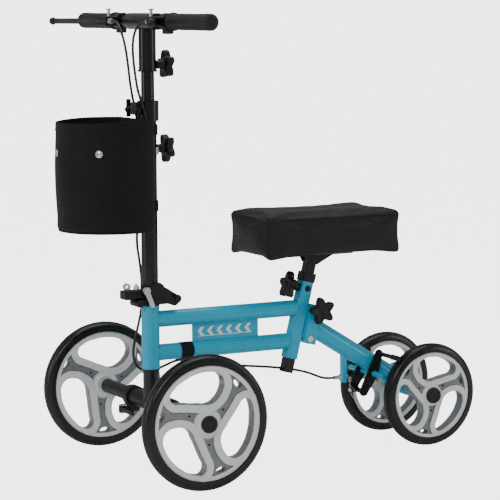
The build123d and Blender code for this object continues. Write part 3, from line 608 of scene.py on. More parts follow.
def light_studio():
    world = bpy.data.worlds.new("studio")
    world.use_nodes = True
    sky = world.node_tree.nodes["Background"]
    sky.inputs["Color"].default_value = (1.0, 1.0, 1.0, 1.0)
    sky.inputs["Strength"].default_value = 0.34
    bpy.context.scene.world = world
    middle = (0.0, 0.0, 0.4)
    softbox("key_box", (2.4, 2.2, 2.6), middle, 2.2, 1.8, 52.0)
    softbox("left_strip", (2.9, -0.6, 1.1), middle, 0.5, 2.0, 15.0)
    softbox("right_strip", (-2.6, 2.2, 1.2), middle, 0.5, 2.0, 15.0)
    softbox("top_box", (-0.2, -0.4, 3.0), middle, 2.4, 2.0, 34.0)


place_camera()
lay_floor()
light_studio()


# Knee cushion ------------------------------------------------------------------


SWELLING = 0.0035
CUSHION_STEPS = 20
SEAM_DROP = 0.011


def rounded_outline(half_x, half_y, corner, bow, steps=10):
    """A rectangle with round corners, whose long sides bow in by a little."""
    points = []
    for quarter, (sx, sy) in enumerate(((1, 1), (-1, 1), (-1, -1), (1, -1))):
        for step in range(steps + 1):
            angle = math.radians(90 * quarter + 90 * step / steps)
            points.append(
                Vector((
                    sx * (half_x - corner) + corner * math.cos(angle),
                    sy * (half_y - corner) + corner * math.sin(angle),
                ))
            )
    full = []
    for one, two in zip(points, points[1:] + points[:1]):
        pieces = max(1, round((two - one).length / 0.008))
        full += [one.lerp(two, i / pieces) for i in range(pieces)]
    for p in full:
        pull = (1 - (p.x / half_x) ** 2) * (1 - (p.y / half_y) ** 2)
        edge = max(abs(p.x) / half_x, abs(p.y) / half_y)
        p.x -= bow * math.copysign(1, p.x) * pull * edge if abs(p.x) > half_x - corner else 0.0
        if abs(p.y) > half_y - corner:
            p.y -= math.copysign(bow, p.y) * (1 - (p.x / half_x) ** 2)
    return full


def cushion_blank(low, high):
    """The cushion before it is filled: a closed form a little smaller than its box."""
    middle = (low + high) / 2
    half_x = (high.x - low.x) / 2 - SWELLING
    half_y = (high.y - low.y) / 2 - SWELLING
    levels = [
        (0.0, 0.006), (0.004, 0.001), (0.030, 0.0025), (0.052, 0.002), (0.070, 0.0), (0.0785, 0.0012),
        (0.0815, 0.005),
    ]
    points = []
    outline = rounded_outline(half_x, half_y, 0.009, 0.002)
    for height, inset in levels:
        for p in outline:
            shrink_x = (half_x - inset) / half_x
            shrink_y = (half_y - inset) / half_y
            corner = max(0.0, abs(p.x) / half_x + abs(p.y) / half_y - 1.62) / 0.38
            drop = -0.0042 * min(1.0, corner) * max(0.0, 1 - height / 0.03)
            points.append((middle.x + p.x * shrink_x, middle.y + p.y * shrink_y, low.z + height + drop))
    return points, skinned(len(levels), len(outline)) + ends(len(levels), len(outline))


def filled(piece, floor_height, limit):
    """The blank swells under pressure; its bottom stays on the plate."""
    remesh = piece.modifiers.new("even", "REMESH")
    remesh.mode = "VOXEL"
    remesh.voxel_size = 0.0045
    settled(piece)
    before = [v.co.copy() for v in piece.data.vertices]
    held = piece.vertex_groups.new(name="held")
    held.add([v.index for v in piece.data.vertices if v.co.z < floor_height + 0.004], 1.0, "REPLACE")
    cloth = piece.modifiers.new("cloth", "CLOTH")
    cloth.settings.quality = 5
    cloth.settings.tension_stiffness = 20.0
    cloth.settings.compression_stiffness = 20.0
    cloth.settings.bending_stiffness = 3.0
    cloth.settings.use_pressure = True
    cloth.settings.uniform_pressure_force = 4.0
    cloth.settings.vertex_group_mass = "held"
    cloth.settings.effector_weights.gravity = 0.0
    scene = bpy.context.scene
    for step in range(1, CUSHION_STEPS + 1):
        scene.frame_set(step)
    settled(piece)
    scene.frame_set(1)
    for vertex, start in zip(piece.data.vertices, before):
        move = vertex.co - start
        if move.length > limit:
            vertex.co = start + move.normalized() * limit


def draw_out_corners(cushion, low, high):
    """The filled cushion is fitted to its box, its corners pulled out and its top crowned."""
    middle = (low + high) / 2
    half = (high - low) / 2
    points = cushion.data.vertices
    wide_x, wide_y = (max(abs(v.co[axis] - middle[axis]) for v in points) for axis in (0, 1))
    for vertex in points:
        along = (vertex.co.x - middle.x) / wide_x
        across = (vertex.co.y - middle.y) / wide_y
        rise = (vertex.co.z - low.z) / (2 * half.z)
        corner = min(1.0, max(0.0, (abs(along) + abs(across) - 1.45) / 0.45)) ** 2
        vertex.co.x = middle.x + along * half.x * (1 + 0.0168 * corner)
        vertex.co.y = middle.y + across * half.y * (1 + 0.028 * corner)
        vertex.co.z += 0.0035 * corner * (rise - 0.5) - 0.006 * corner * max(0.0, 0.5 - rise)
        vertex.co.z -= 0.008 * max(0.0, rise - 0.5) * max(0.0, 1 - across**2)


def make_cushion():
    low, high = (Vector(corner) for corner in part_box("seat_cushion"))
    seam = high.z - SEAM_DROP
    vinyl = seat_vinyl(seam)
    cushion = made("knee_cushion", cushion_blank(low, high), vinyl)
    filled(cushion, low.z, 0.007)
    cushion.data.materials.clear()
    cushion.data.materials.append(vinyl)
    smooth = cushion.modifiers.new("even", "SMOOTH")
    smooth.iterations = 2
    finer = cushion.modifiers.new("finer", "SUBSURF")
    finer.levels = finer.render_levels = 1
    settled(cushion)
    middle = (low + high) / 2
    draw_out_corners(cushion, low, high)
    cushion.data.shade_smooth()
    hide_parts("seat_cushion")
    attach(cushion, "seat")
    mesh = cushion.data
    skin = BVHTree.FromPolygons([v.co for v in mesh.vertices], [p.vertices for p in mesh.polygons])
    edge = rounded_outline((high.x - low.x) / 2 + 0.01, (high.y - low.y) / 2 + 0.01, 0.012, 0.0)

    def row(height):
        """Points on the cushion's side all the way round at this height."""
        line = []
        for p in edge:
            start = Vector((middle.x + p.x, middle.y + p.y, height))
            inward = Vector((middle.x + 0.6 * p.x, middle.y + 0.6 * p.y, height)) - start
            hit, normal, _, _ = skin.ray_cast(start, inward.normalized())
            if hit:
                line.append(hit + Vector((normal.x, normal.y, 0)).normalized() * 0.0002)
        return line

    piping = row(seam)
    cord = made("cushion_piping", swept(piping + piping[:1], 0.0013, 8), vinyl)
    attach(cord, "seat")
    stitches = stitched("cushion_stitches", row(seam - 0.0045), 0.0036, 0.0006, thread, True)
    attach(stitches, "seat")


make_cushion()


# Front bag -----------------------------------------------------------------------

bag_low, bag_high = (Vector(corner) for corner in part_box("bag"))
BAG_RADIUS = (bag_high.y - bag_low.y) / 2
BAG_X = bag_high.x - BAG_RADIUS
BAG_HEIGHT = bag_high.z - bag_low.z
STRAP_INSET = 0.032
SNAP_HEIGHT = 0.617


def bag_edge(count):
    """The bag's outline from above, as (place, outward, distance sewn) round its loop."""
    reach = math.acos((bag_low.x - BAG_X) / BAG_RADIUS)
    half_back = BAG_RADIUS * math.sin(reach)
    arc = 2 * reach * BAG_RADIUS
    whole = arc + 2 * half_back
    edge = []
    for step in range(count):
        sewn = whole * step / count
        if sewn < arc:
            angle = -reach + sewn / BAG_RADIUS
            outward = Vector((math.cos(angle), math.sin(angle), 0))
            place = Vector((BAG_X, 0, 0)) + BAG_RADIUS * outward
        else:
            outward = Vector((-1, 0, 0))
            place = Vector((bag_low.x, half_back - (sewn - arc), 0))
        edge.append((place, outward, sewn))
    return edge, whole


def bag_sag(outward, share):
    """How far the cloth stands out at this side and share of the height."""
    side = math.atan2(outward.y, outward.x)
    front = max(0.0, outward.x + 0.2)
    belly = 0.0032 * front * math.sin(math.pi * min(1.0, 1.15 * max(0.0, 1 - share)) ** 1.3)
    folds = 0.0011 * math.sin(5 * side + 2.2 * share) * math.sin(math.pi * share) * front
    rim = 0.0016 * math.sin(3 * side + 0.7) * share**4 * front
    foot = -0.005 * max(0.0, 1 - share / 0.045) ** 2
    return belly + folds + rim + foot


def bag_point(edge_point, share, stand=0.0):
    place, outward, _ = edge_point
    dip = -0.0035 * max(0.0, outward.x) * share**3
    point = place + outward * (bag_sag(outward, share) + stand - 0.0012)
    return Vector((point.x, point.y, bag_low.z + 0.001 + share * (BAG_HEIGHT - 0.001) + dip))


def cloth_piece(name, points, faces, maps, finish, thickness, offset=-1.0):
    """A sheet with its own map in metres, given its thickness by Solidify."""
    mesh = bpy.data.meshes.new(name)
    mesh.from_pydata([tuple(p) for p in points], [], faces)
    layer = mesh.uv_layers.new(name="cloth")
    for loop in mesh.loops:
        layer.data[loop.index].uv = maps[loop.vertex_index]
    mesh.materials.append(finish)
    mesh.shade_smooth()
    piece = placed(name, mesh)
    wall = piece.modifiers.new("cloth", "SOLIDIFY")
    wall.thickness = thickness
    wall.offset = offset
    settled(piece)
    piece.data.shade_smooth()
    piece.data.set_sharp_from_angle(angle=math.radians(50))
    return piece


def band_of(edge, shares, stand, name, finish, thickness):
    """A closed band of cloth between the given shares of the bag's height."""
    points, maps = [], []
    for share in shares:
        for edge_point in edge:
            points.append(bag_point(edge_point, share, stand))
            maps.append((edge_point[2], share * BAG_HEIGHT))
    return cloth_piece(name, points, skinned(len(shares), len(edge)), maps, finish, thickness)


def make_bag():
    edge, whole = bag_edge(150)
    shares = [0.0, 0.008, 0.018, 0.032, 0.048] + [0.048 + 0.952 * i / 44 for i in range(1, 45)]
    wall = band_of(edge, shares, 0.0, "bag_wall", bag_cloth, 0.0016)
    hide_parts("bag")
    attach(wall, "mast")
    hem = band_of(edge, [0.918 + 0.0822 * i / 6 for i in range(7)], 0.0011, "bag_hem", bag_cloth, 0.0011)
    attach(hem, "mast")
    binding = [bag_point(p, 0.006, 0.0006) for p in edge]
    piping = made("bag_binding", swept(binding + binding[:1], 0.0017, 8), bag_cloth)
    layer = piping.data.uv_layers.new(name="cloth")
    for loop in piping.data.loops:
        place = piping.data.vertices[loop.vertex_index].co
        layer.data[loop.index].uv = (place.x + place.y, place.z)
    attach(piping, "mast")
    points = [Vector((BAG_X - 0.012, 0, bag_low.z + 0.0012))]
    maps = [(0.0, 0.0)]
    faces = []
    rows = 8
    for row in range(1, rows + 1):
        for edge_point in edge:
            rim = bag_point(edge_point, 0.0, -0.001)
            place = points[0].lerp(Vector((rim.x, rim.y, points[0].z)), row / rows)
            place.z += 0.0012 * math.sin(9 * place.x / 0.1) * math.sin(math.pi * row / rows)
            points.append(place)
            maps.append((place.x, place.y))
    around = len(edge)
    for step in range(around):
        after = (step + 1) % around
        faces.append((0, 1 + step, 1 + after))
        for row in range(rows - 1):
            low = 1 + row * around
            faces.append((low + step, low + around + step, low + around + after, low + after))
    base = cloth_piece("bag_base", points, faces, maps, bag_cloth, 0.0016, 1.0)
    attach(base, "mast")
    for name, share in (("bag_hem_stitches", 0.926), ("bag_foot_stitches", 0.03)):
        stand = 0.0013 if share > 0.5 else 0.0001
        line = [bag_point(p, share, stand) for p in edge]
        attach(stitched(name, line, 0.0042, 0.00055, thread, True), "mast")
    down = [bag_point(edge[128], 0.05 + 0.86 * i / 40, 0.0002) for i in range(41)]
    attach(stitched("bag_side_stitches", down, 0.0042, 0.00055, thread), "mast")


def make_snaps():
    """Three snap rivets on the bag's wall."""
    dome = [
        (-0.001, 0.0), (-0.001, 0.0066), (0.0006, 0.0072), (0.0014, 0.0068), (0.0016, 0.0056),
        (0.0012, 0.0048), (0.0014, 0.0036), (0.0022, 0.0022), (0.0025, 0.0008), (0.0025, 0.0),
    ]
    share = (SNAP_HEIGHT - bag_low.z) / BAG_HEIGHT
    shells = []
    for angle in (93, 33, -46):
        outward = Vector((math.sin(math.radians(angle)), math.cos(math.radians(angle)), 0))
        place = (Vector((BAG_X, 0, 0)) + BAG_RADIUS * outward, outward, 0.0)
        shells.append(stood(turned(dome, 32), bag_point(place, share, 0.0006), outward))
    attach(made("bag_snaps", joined_shells(*shells), steel), "mast")


def make_bag_straps():
    """The two webbing loops that hold the bag to the mast."""
    low, high = (Vector(corner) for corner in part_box("mast_tube"))
    centre = (low + high) / 2
    radius = (high.y - low.y) / 2
    heights = {"bag_strap_upper": bag_high.z - STRAP_INSET, "bag_strap_lower": bag_low.z + STRAP_INSET}
    for name, height in heights.items():
        reach = bag_low.x - centre.x
        loop = []
        for step in range(49):
            angle = math.radians(24 + 312 * step / 48)
            loop.append((radius + 0.0009) * Vector((math.cos(angle), math.sin(angle))))
        tail = [Vector((reach + 0.0006, y)) for y in (-0.028, -0.018)]
        start = [Vector((reach + 0.0006, y)) for y in (0.028, 0.018)]
        near, far = (Vector((reach * 0.86, y)) for y in (0.0105, -0.0105))
        line = [*start, near, *loop, far, *tail[::-1]]
        points, maps, faces = [], [], []
        sewn = 0.0
        for number, p in enumerate(line):
            sewn += (p - line[number - 1]).length if number else 0.0
            for row, rise in enumerate((0.0, 0.005, 0.010, 0.015, 0.020)):
                points.append(Vector((centre.x + p.x, p.y, height + rise)))
                maps.append((sewn, rise))
        for number in range(len(line) - 1):
            for row in range(4):
                a = number * 5 + row
                faces.append((a, a + 5, a + 6, a + 1))
        strap = cloth_piece(name, points, faces, maps, webbing, 0.0014, 1.0)
        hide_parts("mast_clips")
        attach(strap, "mast")


make_bag_straps()
make_bag()
make_snaps()


# Wheels and tyres -------------------------------------------------------------------


def crown(radius, across):
    """The radius of the tyre's round crown at this place across its width."""
    return radius - CROWN_RADIUS + math.sqrt(CROWN_RADIUS**2 - across**2)


def tyre_profile(radius, inner, half):
    """The tyre's section as (across, radius) pairs round a closed loop."""
    shoulder = crown(radius, half)
    side = [
        (half, inner), (half + 0.0004, inner + 0.002), (half - 0.0002, inner + 0.0034),
        (half + 0.0002, inner + 0.006), (half, (inner + shoulder) / 2 + 0.001),
        (half - 0.0006, shoulder - 0.0014),
    ]
    loop = [(-across, reach) for across, reach in side]
    for step in range(13):
        across = -half + 0.0014 + (2 * half - 0.0028) * step / 12
        loop.append((across, crown(radius - 0.0009, across)))
    return loop + side[::-1]


def tread_bar(radius, half, width):
    """One rib across the tyre's crown, as wide as given, with a chamfered top."""
    points, faces = [], []
    steps = 6
    for step in range(steps + 1):
        across = -half + 2 * half * step / steps
        top = crown(radius, across)
        end = 0.0006 if step in (0, steps) else 0.0
        half_bar = [(-0.5, -0.0014), (-0.5, -0.0004 - end), (-0.3, -end)]
        for side, height in half_bar + [(-side, height) for side, height in half_bar[::-1]]:
            points.append((top + height, side * width, across))
    for step in range(steps):
        for k in range(5):
            a = step * 6 + k
            faces.append((a, a + 1, a + 7, a + 6))
    faces.append((0, 5, 4, 3, 2, 1))
    faces.append(tuple(steps * 6 + k for k in range(6)))
    return points, faces


def screw_head(radius):
    """A small round-headed screw on +Z with a dished recess."""
    dome = [
        (-0.0005, 0.0), (-0.0005, radius), (0.0008, radius), (0.0015, radius * 0.8),
        (0.0015, radius * 0.45), (0.0006, radius * 0.38), (0.0006, 0.0),
    ]
    return turned(dome, 12)


def on_wheel(degrees, distance, turn, hand):
    """A place on the wheel's plane, from its angle on the wheel and its distance from the hub."""
    angle = math.radians(hand * degrees + turn)
    return Vector((-math.cos(angle), math.sin(angle))) * distance


def window_edge(rim, turn, hand, grow):
    """The outline of a comma-shaped window, let out by grow and kept inside the rim."""
    shape = [
        (66, 0.60), (69, 0.76), (77, 0.855), (90, 0.875), (105, 0.875), (122, 0.875),
        (138, 0.885), (147, 0.86), (150, 0.76), (145, 0.64), (136, 0.52), (124, 0.42),
        (108, 0.365), (92, 0.34), (78, 0.37), (69, 0.46),
    ]
    places = [on_wheel(degrees, share * rim, turn, hand) for degrees, share in shape]
    grown = []
    for number, spot in enumerate(places):
        along = places[(number + 1) % len(places)] - places[number - 1]
        spot = spot + Vector((along.y, -along.x)).normalized() * (-hand * grow)
        grown.append(spot * min(1.0, (rim - 0.0016) / spot.length))
    return grown


def slot_edge(rim, turn, hand):
    """The outline of the drain slot between two windows."""
    out = on_wheel(50, 1.0, turn, hand)
    side = Vector((-out.y, out.x))
    ends = [(0.06, 0.04), (0.1, 0.0), (0.06, -0.04), (-0.06, -0.04), (-0.1, 0.0), (-0.06, 0.04)]
    return [out * (0.87 * rim) + side * (a * rim) + out * (b * rim) for a, b in ends]


def cut_plate(outlines, half, edge, centre):
    """A flat plate on the wheel's plane with round edges; the outlines after the first are holes."""
    curve = bpy.data.curves.new("plate", "CURVE")
    curve.dimensions = "2D"
    curve.fill_mode = "BOTH"
    curve.extrude = half - edge
    curve.bevel_depth = edge
    curve.offset = -edge
    curve.bevel_resolution = 2
    curve.resolution_u = 6
    for outline in outlines:
        spline = curve.splines.new("BEZIER")
        spline.bezier_points.add(len(outline) - 1)
        for point, spot in zip(spline.bezier_points, outline):
            point.co = (spot.x, spot.y, 0)
            point.handle_left_type = point.handle_right_type = "AUTO"
        spline.use_cyclic_u = True
    holder = placed("plate", curve)
    mesh = evaluated(holder)
    place = Matrix.Translation(centre) @ Matrix.Rotation(math.pi / 2, 4, "X")
    shell = [place @ v.co for v in mesh.vertices], [tuple(p.vertices) for p in mesh.polygons]
    bpy.data.objects.remove(holder)
    bpy.data.curves.remove(curve)
    bpy.data.meshes.remove(mesh)
    return shell


def round_edge(radius, count=24):
    angles = [math.tau * step / count for step in range(count)]
    return [Vector((radius * math.cos(angle), radius * math.sin(angle))) for angle in angles]


def make_moulding(place, body, centre, rim):
    """The moulded wheel: web, raised bands round its windows, rim, boss and hub."""
    hand, first = WHEEL_TURNS[place]
    scale = rim / FRONT_RIM
    turns = [first + 120 * third for third in range(3)]
    grow = 0.0018 * scale
    band = 0.0145 * scale
    holes = [window_edge(rim, turn, hand, grow + 0.0008) for turn in turns]
    holes += [slot_edge(rim, turn, hand) for turn in turns]
    shells = [cut_plate([round_edge(rim - 0.003), *holes], WEB_HALF, 0.0008, centre)]
    for turn in turns:
        for outer, inner, half, edge in (
            (grow + band, grow, BAND_HALF, 0.0016),
            (grow + 0.0042 * scale, grow + 0.0006, BAND_HALF + 0.0008, 0.0007),
        ):
            edges = [window_edge(rim, turn, hand, reach) for reach in (outer, inner)]
            shells.append(cut_plate(edges, half, edge, centre))
    inner = rim - 0.0085 * scale
    tyre_seat = [
        (-0.0125, inner + 0.001), (-0.0125, rim - 0.0008), (-0.0117, rim), (0.0117, rim),
        (0.0125, rim - 0.0008), (0.0125, inner + 0.001), (0.0117, inner), (-0.0117, inner),
    ]
    shells.append(stood(turned(tyre_seat, 96, True), centre, (0, 1, 0)))
    half_hub = [
        (0.017, 0.0165), (0.017, 0.0195), (0.016, 0.021), (0.0125, 0.0222), (0.0106, 0.029 * scale),
        (0.0085, 0.0295 * scale),
    ]
    hub = [(-height, radius) for height, radius in half_hub] + half_hub[::-1]
    hub += [(0.015, 0.016), (0.015, 0.0062), (-0.015, 0.0062), (-0.015, 0.016)]
    shells.append(stood(turned(hub, 48, True), centre, (0, 1, 0)))
    wheel = made(f"wheel_moulding_{place}", joined_shells(*shells), grey, 30.0)
    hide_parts(f"wheel_{place}")
    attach(wheel, body)
    heads = []
    for turn in turns:
        for degrees, distance, size in ((38, 0.040, 0.0021), (55, 0.047, 0.0016), (28, 0.052, 0.0016)):
            spot = on_wheel(degrees, distance * scale, turn, hand)
            for side in (1, -1):
                origin = centre + Vector((spot.x, side * WEB_HALF, spot.y))
                heads.append(stood(screw_head(size), origin, (0, side, 0)))
    screws = made(f"wheel_screws_{place}", joined_shells(*heads), casting)
    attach(screws, body)


def make_wheel(place, body):
    low, high = (Vector(corner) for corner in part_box(f"tyre_{place}"))
    centre = (low + high) / 2
    radius = (high.x - low.x) / 2
    half = (high.y - low.y) / 2
    rim_low, rim_high = (Vector(corner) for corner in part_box(f"wheel_{place}"))
    rim = (rim_high.x - rim_low.x) / 2
    inner = rim + 0.0002
    shell = stood(turned(tyre_profile(radius, inner, half), 128, True), centre, (0, 1, 0))
    tyre = made(f"tyre_tread_{place}", shell, rubber, 50.0)
    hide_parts(f"tyre_{place}")
    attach(tyre, body)
    count = round(math.tau * radius / 0.0034)
    bar = tread_bar(radius, half - 0.0022, 0.0019)
    ribs = ring(f"tyre_ribs_{place}", bar, count, rubber, centre, (0, 1, 0))
    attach(ribs, body)
    outward = 1 if centre.y > 0 else -1
    hub_face = (rim_high.y - rim_low.y) / 2
    make_moulding(place, body, centre, rim)
    cap_low, cap_high = (Vector(corner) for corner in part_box(f"hub_cap_{place}"))
    reach = (cap_high.y if outward > 0 else -cap_low.y) - abs(centre.y)
    wide = (cap_high.x - cap_low.x) / 2
    dome = [
        (hub_face - 0.003, wide - 0.001), (hub_face - 0.0005, wide - 0.0002), (hub_face + 0.0004, wide),
        (reach - 0.0026, wide - 0.0004), (reach - 0.0009, wide - 0.0018), (reach, wide - 0.0045),
        (reach, wide * 0.56), (reach - 0.0011, wide * 0.52), (reach - 0.0011, wide * 0.2),
        (reach - 0.0011, 0.0001),
    ]
    cap = made(f"hub_cover_{place}", stood(turned(dome, 40), centre, (0, outward, 0)), moulded, 30.0)
    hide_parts(f"hub_cap_{place}")
    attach(cap, body)


for place in ("front_left", "front_right", "rear_left", "rear_right"):
    make_wheel(place, f"wheel_{place}")


# Grips, knobs and small parts --------------------------------------------------------


def make_grips():
    outer = Vector(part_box("grips")[1]).y
    bar_low, bar_high = (Vector(corner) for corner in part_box("handlebar"))
    x, z = (bar_low.x + bar_high.x) / 2, (bar_low.z + bar_high.z) / 2
    inner = 0.126
    flange = [
        (0.0, 0.0112), (0.0, 0.0160), (0.0008, 0.0172), (0.0036, 0.0174), (0.0048, 0.0166),
        (0.0056, 0.0152), (0.012, 0.0150), (0.04, 0.0153), (0.085, 0.0151),
    ]
    tip = [
        (0.03, 0.0154), (0.012, 0.0156), (0.0035, 0.0154), (0.001, 0.0138), (0.0, 0.0112),
        (0.0, 0.0078), (0.0012, 0.0072), (0.0012, 0.0040), (0.0004, 0.0034), (0.0004, 0.0002),
    ]
    profile = [(inner + along, radius) for along, radius in flange]
    profile += [(outer - back, radius) for back, radius in tip]
    shells = [stood(turned(profile, 48), (x, 0, z), (0, side, 0)) for side in (1, -1)]
    grips = made("hand_grips", joined_shells(*shells), grip_finish, 40.0)
    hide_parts("grips")
    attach(grips, "stem")


def star_knob(stand_off, screw):
    """A five-armed knob on +Z with rounded edges, its boss and screw below it."""
    levels = [
        (0.0, 0.0035), (0.0008, 0.0012), (0.003, 0.0), (0.0115, 0.0), (0.0136, 0.0008), (0.0148, 0.0028),
        (0.0150, 0.0062), (0.0143, 0.0085),
    ]
    steps = 80
    points = []
    for height, inset in levels:
        for step in range(steps):
            angle = math.tau * step / steps
            reach = 0.0226 + 0.0054 * math.cos(5 * angle) - inset
            points.append((reach * math.cos(angle), reach * math.sin(angle), stand_off + height))
    faces = skinned(len(levels), steps) + ends(len(levels), steps)
    boss = [(0.0003, 0.0070), (0.0010, 0.0080), (stand_off - 0.003, 0.0084), (stand_off + 0.001, 0.0112)]
    button = [(0.0140, 0.0070), (0.0154, 0.0066), (0.0158, 0.0050), (0.0158, 0.0002)]
    centre = [(stand_off + height, radius) for height, radius in button]
    stud = [(-screw, 0.0028), (0.001, 0.003)]
    return joined_shells((points, faces), turned(boss, 32), turned(centre, 32), turned(stud, 20))


def make_knobs():
    """The four knobs: place of the seat, direction, stand-off, screw length and turn of each."""
    lean = math.radians(14.25)
    knobs = {
        "stem_knob": ((0.2325, 0, 0.776), (-1, 0, 0), 0.015, 0.0032, 12),
        "mast_knob": ((0.2331, 0, 0.617), (-1, 0, 0), 0.015, 0.0020, -8),
        "seat_knob": ((-0.07632, 0, 0.32877), (math.cos(lean), 0, math.sin(lean)), 0.017, 0.0018, 20),
        "rear_knob": ((-0.10998, 0.018, 0.28298), (0, 1, 0), 0.010, 0.0026, 30),
    }
    for body, (origin, direction, stand_off, screw, turn) in knobs.items():
        shell = stood(star_knob(stand_off, screw), origin, direction, math.radians(turn))
        knob = made(body + "_star", shell, moulded, 40.0)
        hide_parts(body)
        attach(knob, body)


def make_marking():
    """A plain row of chevrons and a thin line on both faces of the name plate."""
    low, high = (Vector(corner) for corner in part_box("name_plate"))
    middle = (low.z + high.z) / 2 + 0.002
    tall = 0.0085
    shells = []

    def slab(outline, side):
        face = high.y if side > 0 else low.y
        count = len(outline)
        points = [(x, face + side * d, z) for d in (-0.0002, 0.0005) for x, z in outline]
        faces = [tuple(range(count)), tuple(range(count, 2 * count))[::-1]]
        faces += [(k, (k + 1) % count, count + (k + 1) % count, count + k) for k in range(count)]
        shells.append((points, faces))

    for side in (1, -1):
        for number in range(6):
            x = low.x + 0.016 + 0.0205 * number
            outline = [
                (x, middle - tall), (x + 0.007, middle), (x, middle + tall), (x + 0.0075, middle + tall),
                (x + 0.0145, middle), (x + 0.0075, middle - tall),
            ]
            slab(outline, side)
        left, right, foot, head = low.x + 0.016, high.x - 0.012, low.z + 0.0085, low.z + 0.0098
        slab([(left, foot), (right, foot), (right, head), (left, head)], side)
    marking = made("plate_chevrons", joined_shells(*shells), white, 20.0)
    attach(marking, "frame")


def make_frame_strap():
    """The hook-and-loop band round the lower tube and the cable under it."""
    low, high = (Vector(corner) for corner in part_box("cable_strap"))
    tube = Vector((0.0, 0.223))
    cable = Vector((-0.013, 0.2026))
    circles = ((tube, 0.0163), (cable, 0.0030))
    loop = []
    for step in range(90):
        angle = math.tau * step / 90 - 0.4
        facing = Vector((math.cos(angle), math.sin(angle)))
        centre, radius = max(circles, key=lambda c: c[0].dot(facing) + c[1])
        loop.append((centre + facing * radius, facing))
    tail = [(p + facing * 0.0016, facing) for p, facing in loop[:26]]
    points, maps, faces = [], [], []
    sewn = 0.0
    path = loop + loop[:1] + tail
    for number, (p, facing) in enumerate(path):
        sewn += (p - path[number - 1][0]).length if number else 0.0
        for step in range(6):
            x = low.x + 0.0008 + (high.x - low.x - 0.0016) * step / 5
            points.append(Vector((x, p.x, p.y)))
            maps.append((sewn, x))
    for number in range(len(path) - 1):
        for step in range(5):
            a = number * 6 + step
            faces.append((a, a + 1, a + 7, a + 6))
    strap = cloth_piece("frame_strap", points, faces, maps, webbing, 0.0015, 1.0)
    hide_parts("cable_strap")
    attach(strap, "frame")


def make_black_caps():
    """The plug in the seat tube's side and the caps over the fold pin's ends."""
    dome = [(-0.001, 0.0058), (0.0006, 0.0062), (0.0016, 0.0056), (0.0022, 0.0040), (0.0024, 0.0004)]
    plug = made("seat_tube_plug", stood(turned(dome, 32), (-0.0905, 0.0127, 0.3262), (0, 1, 0)), moulded)
    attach(plug, "frame")
    low, high = (Vector(corner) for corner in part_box("hinge_base"))
    pin = Vector((0.198, 0.0, 0.327))
    cap = [
        (-0.0019, 0.0064), (0.0002, 0.0066), (0.0014, 0.0060), (0.0019, 0.0046), (0.0012, 0.0030),
        (0.0012, 0.0003),
    ]
    shells = []
    for side in (1, -1):
        face = (high.y if side > 0 else low.y) + side * 0.0019
        shells.append(stood(turned(cap, 32), (pin.x, face, pin.z), (0, side, 0)))
    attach(made("fold_pin_caps", joined_shells(*shells), casting), "steering")


make_grips()
make_black_caps()
make_knobs()
make_marking()
make_frame_strap()


# Brake cables -------------------------------------------------------------------------


def route_line(points):
    """The smooth line of a route given by its control points, in metres."""
    curve = bpy.data.curves.new("route", "CURVE")
    curve.dimensions = "3D"
    curve.resolution_u = 10
    spline = curve.splines.new("NURBS")
    spline.points.add(len(points) - 1)
    for point, place in zip(spline.points, points):
        point.co = (*place, 1.0)
    spline.order_u = 3
    spline.use_endpoint_u = True
    line = placed("route", curve)
    places = [v.co.copy() for v in evaluated(line).vertices]
    bpy.data.objects.remove(line)
    return places


CABLE_RADIUS = 0.0025
left_route = [
    (0.285, 0.078, 0.858), (0.285, 0.064, 0.858), (0.2895, 0.045, 0.850), (0.2905, 0.030, 0.833),
    (0.289, 0.021, 0.812), (0.286, 0.017, 0.786), (0.282, 0.0165, 0.756), (0.277, 0.017, 0.725),
    (0.267, 0.0188, 0.697), (0.261, 0.0198, 0.668), (0.26, 0.0196, 0.645), (0.264, 0.016, 0.625),
    (0.2688, 0.006, 0.611), (0.2686, -0.006, 0.600), (0.2625, -0.017, 0.590), (0.2574, -0.021, 0.575),
    (0.2574, -0.021, 0.562),
]
right_route = [
    (0.285, -0.078, 0.858), (0.285, -0.063, 0.858), (0.2895, -0.042, 0.852), (0.291, -0.024, 0.838),
    (0.2905, -0.012, 0.818), (0.288, -0.0075, 0.793), (0.284, -0.0085, 0.764), (0.279, -0.0125, 0.735),
    (0.272, -0.0172, 0.710), (0.265, -0.020, 0.684), (0.26, -0.022, 0.655), (0.2578, -0.025, 0.622),
    (0.2574, -0.0274, 0.590), (0.2574, -0.0274, 0.562),
]
main_route = [
    (0.257, -0.0242, 0.528), (0.257, -0.0242, 0.508), (0.2595, -0.0238, 0.484), (0.2645, -0.023, 0.458),
    (0.2652, -0.0224, 0.43), (0.2605, -0.0222, 0.402), (0.2568, -0.0222, 0.372), (0.2558, -0.0223, 0.34),
    (0.2572, -0.022, 0.308), (0.264, -0.0215, 0.279), (0.2725, -0.021, 0.25), (0.2775, -0.021, 0.222),
    (0.2725, -0.021, 0.199), (0.257, -0.0208, 0.1865), (0.235, -0.02, 0.1848), (0.212, -0.0165, 0.193),
    (0.193, -0.0135, 0.201), (0.175, -0.013, 0.2026), (0.156, -0.0134, 0.2016), (0.134, -0.015, 0.1965),
    (0.106, -0.0175, 0.189), (0.072, -0.0194, 0.182), (0.036, -0.0202, 0.177), (-0.002, -0.0203, 0.1725),
    (-0.04, -0.0198, 0.167), (-0.076, -0.018, 0.1602), (-0.105, -0.012, 0.1525), (-0.126, -0.003, 0.1426),
    (-0.141, 0, 0.139), (-0.157, 0, 0.139),
]


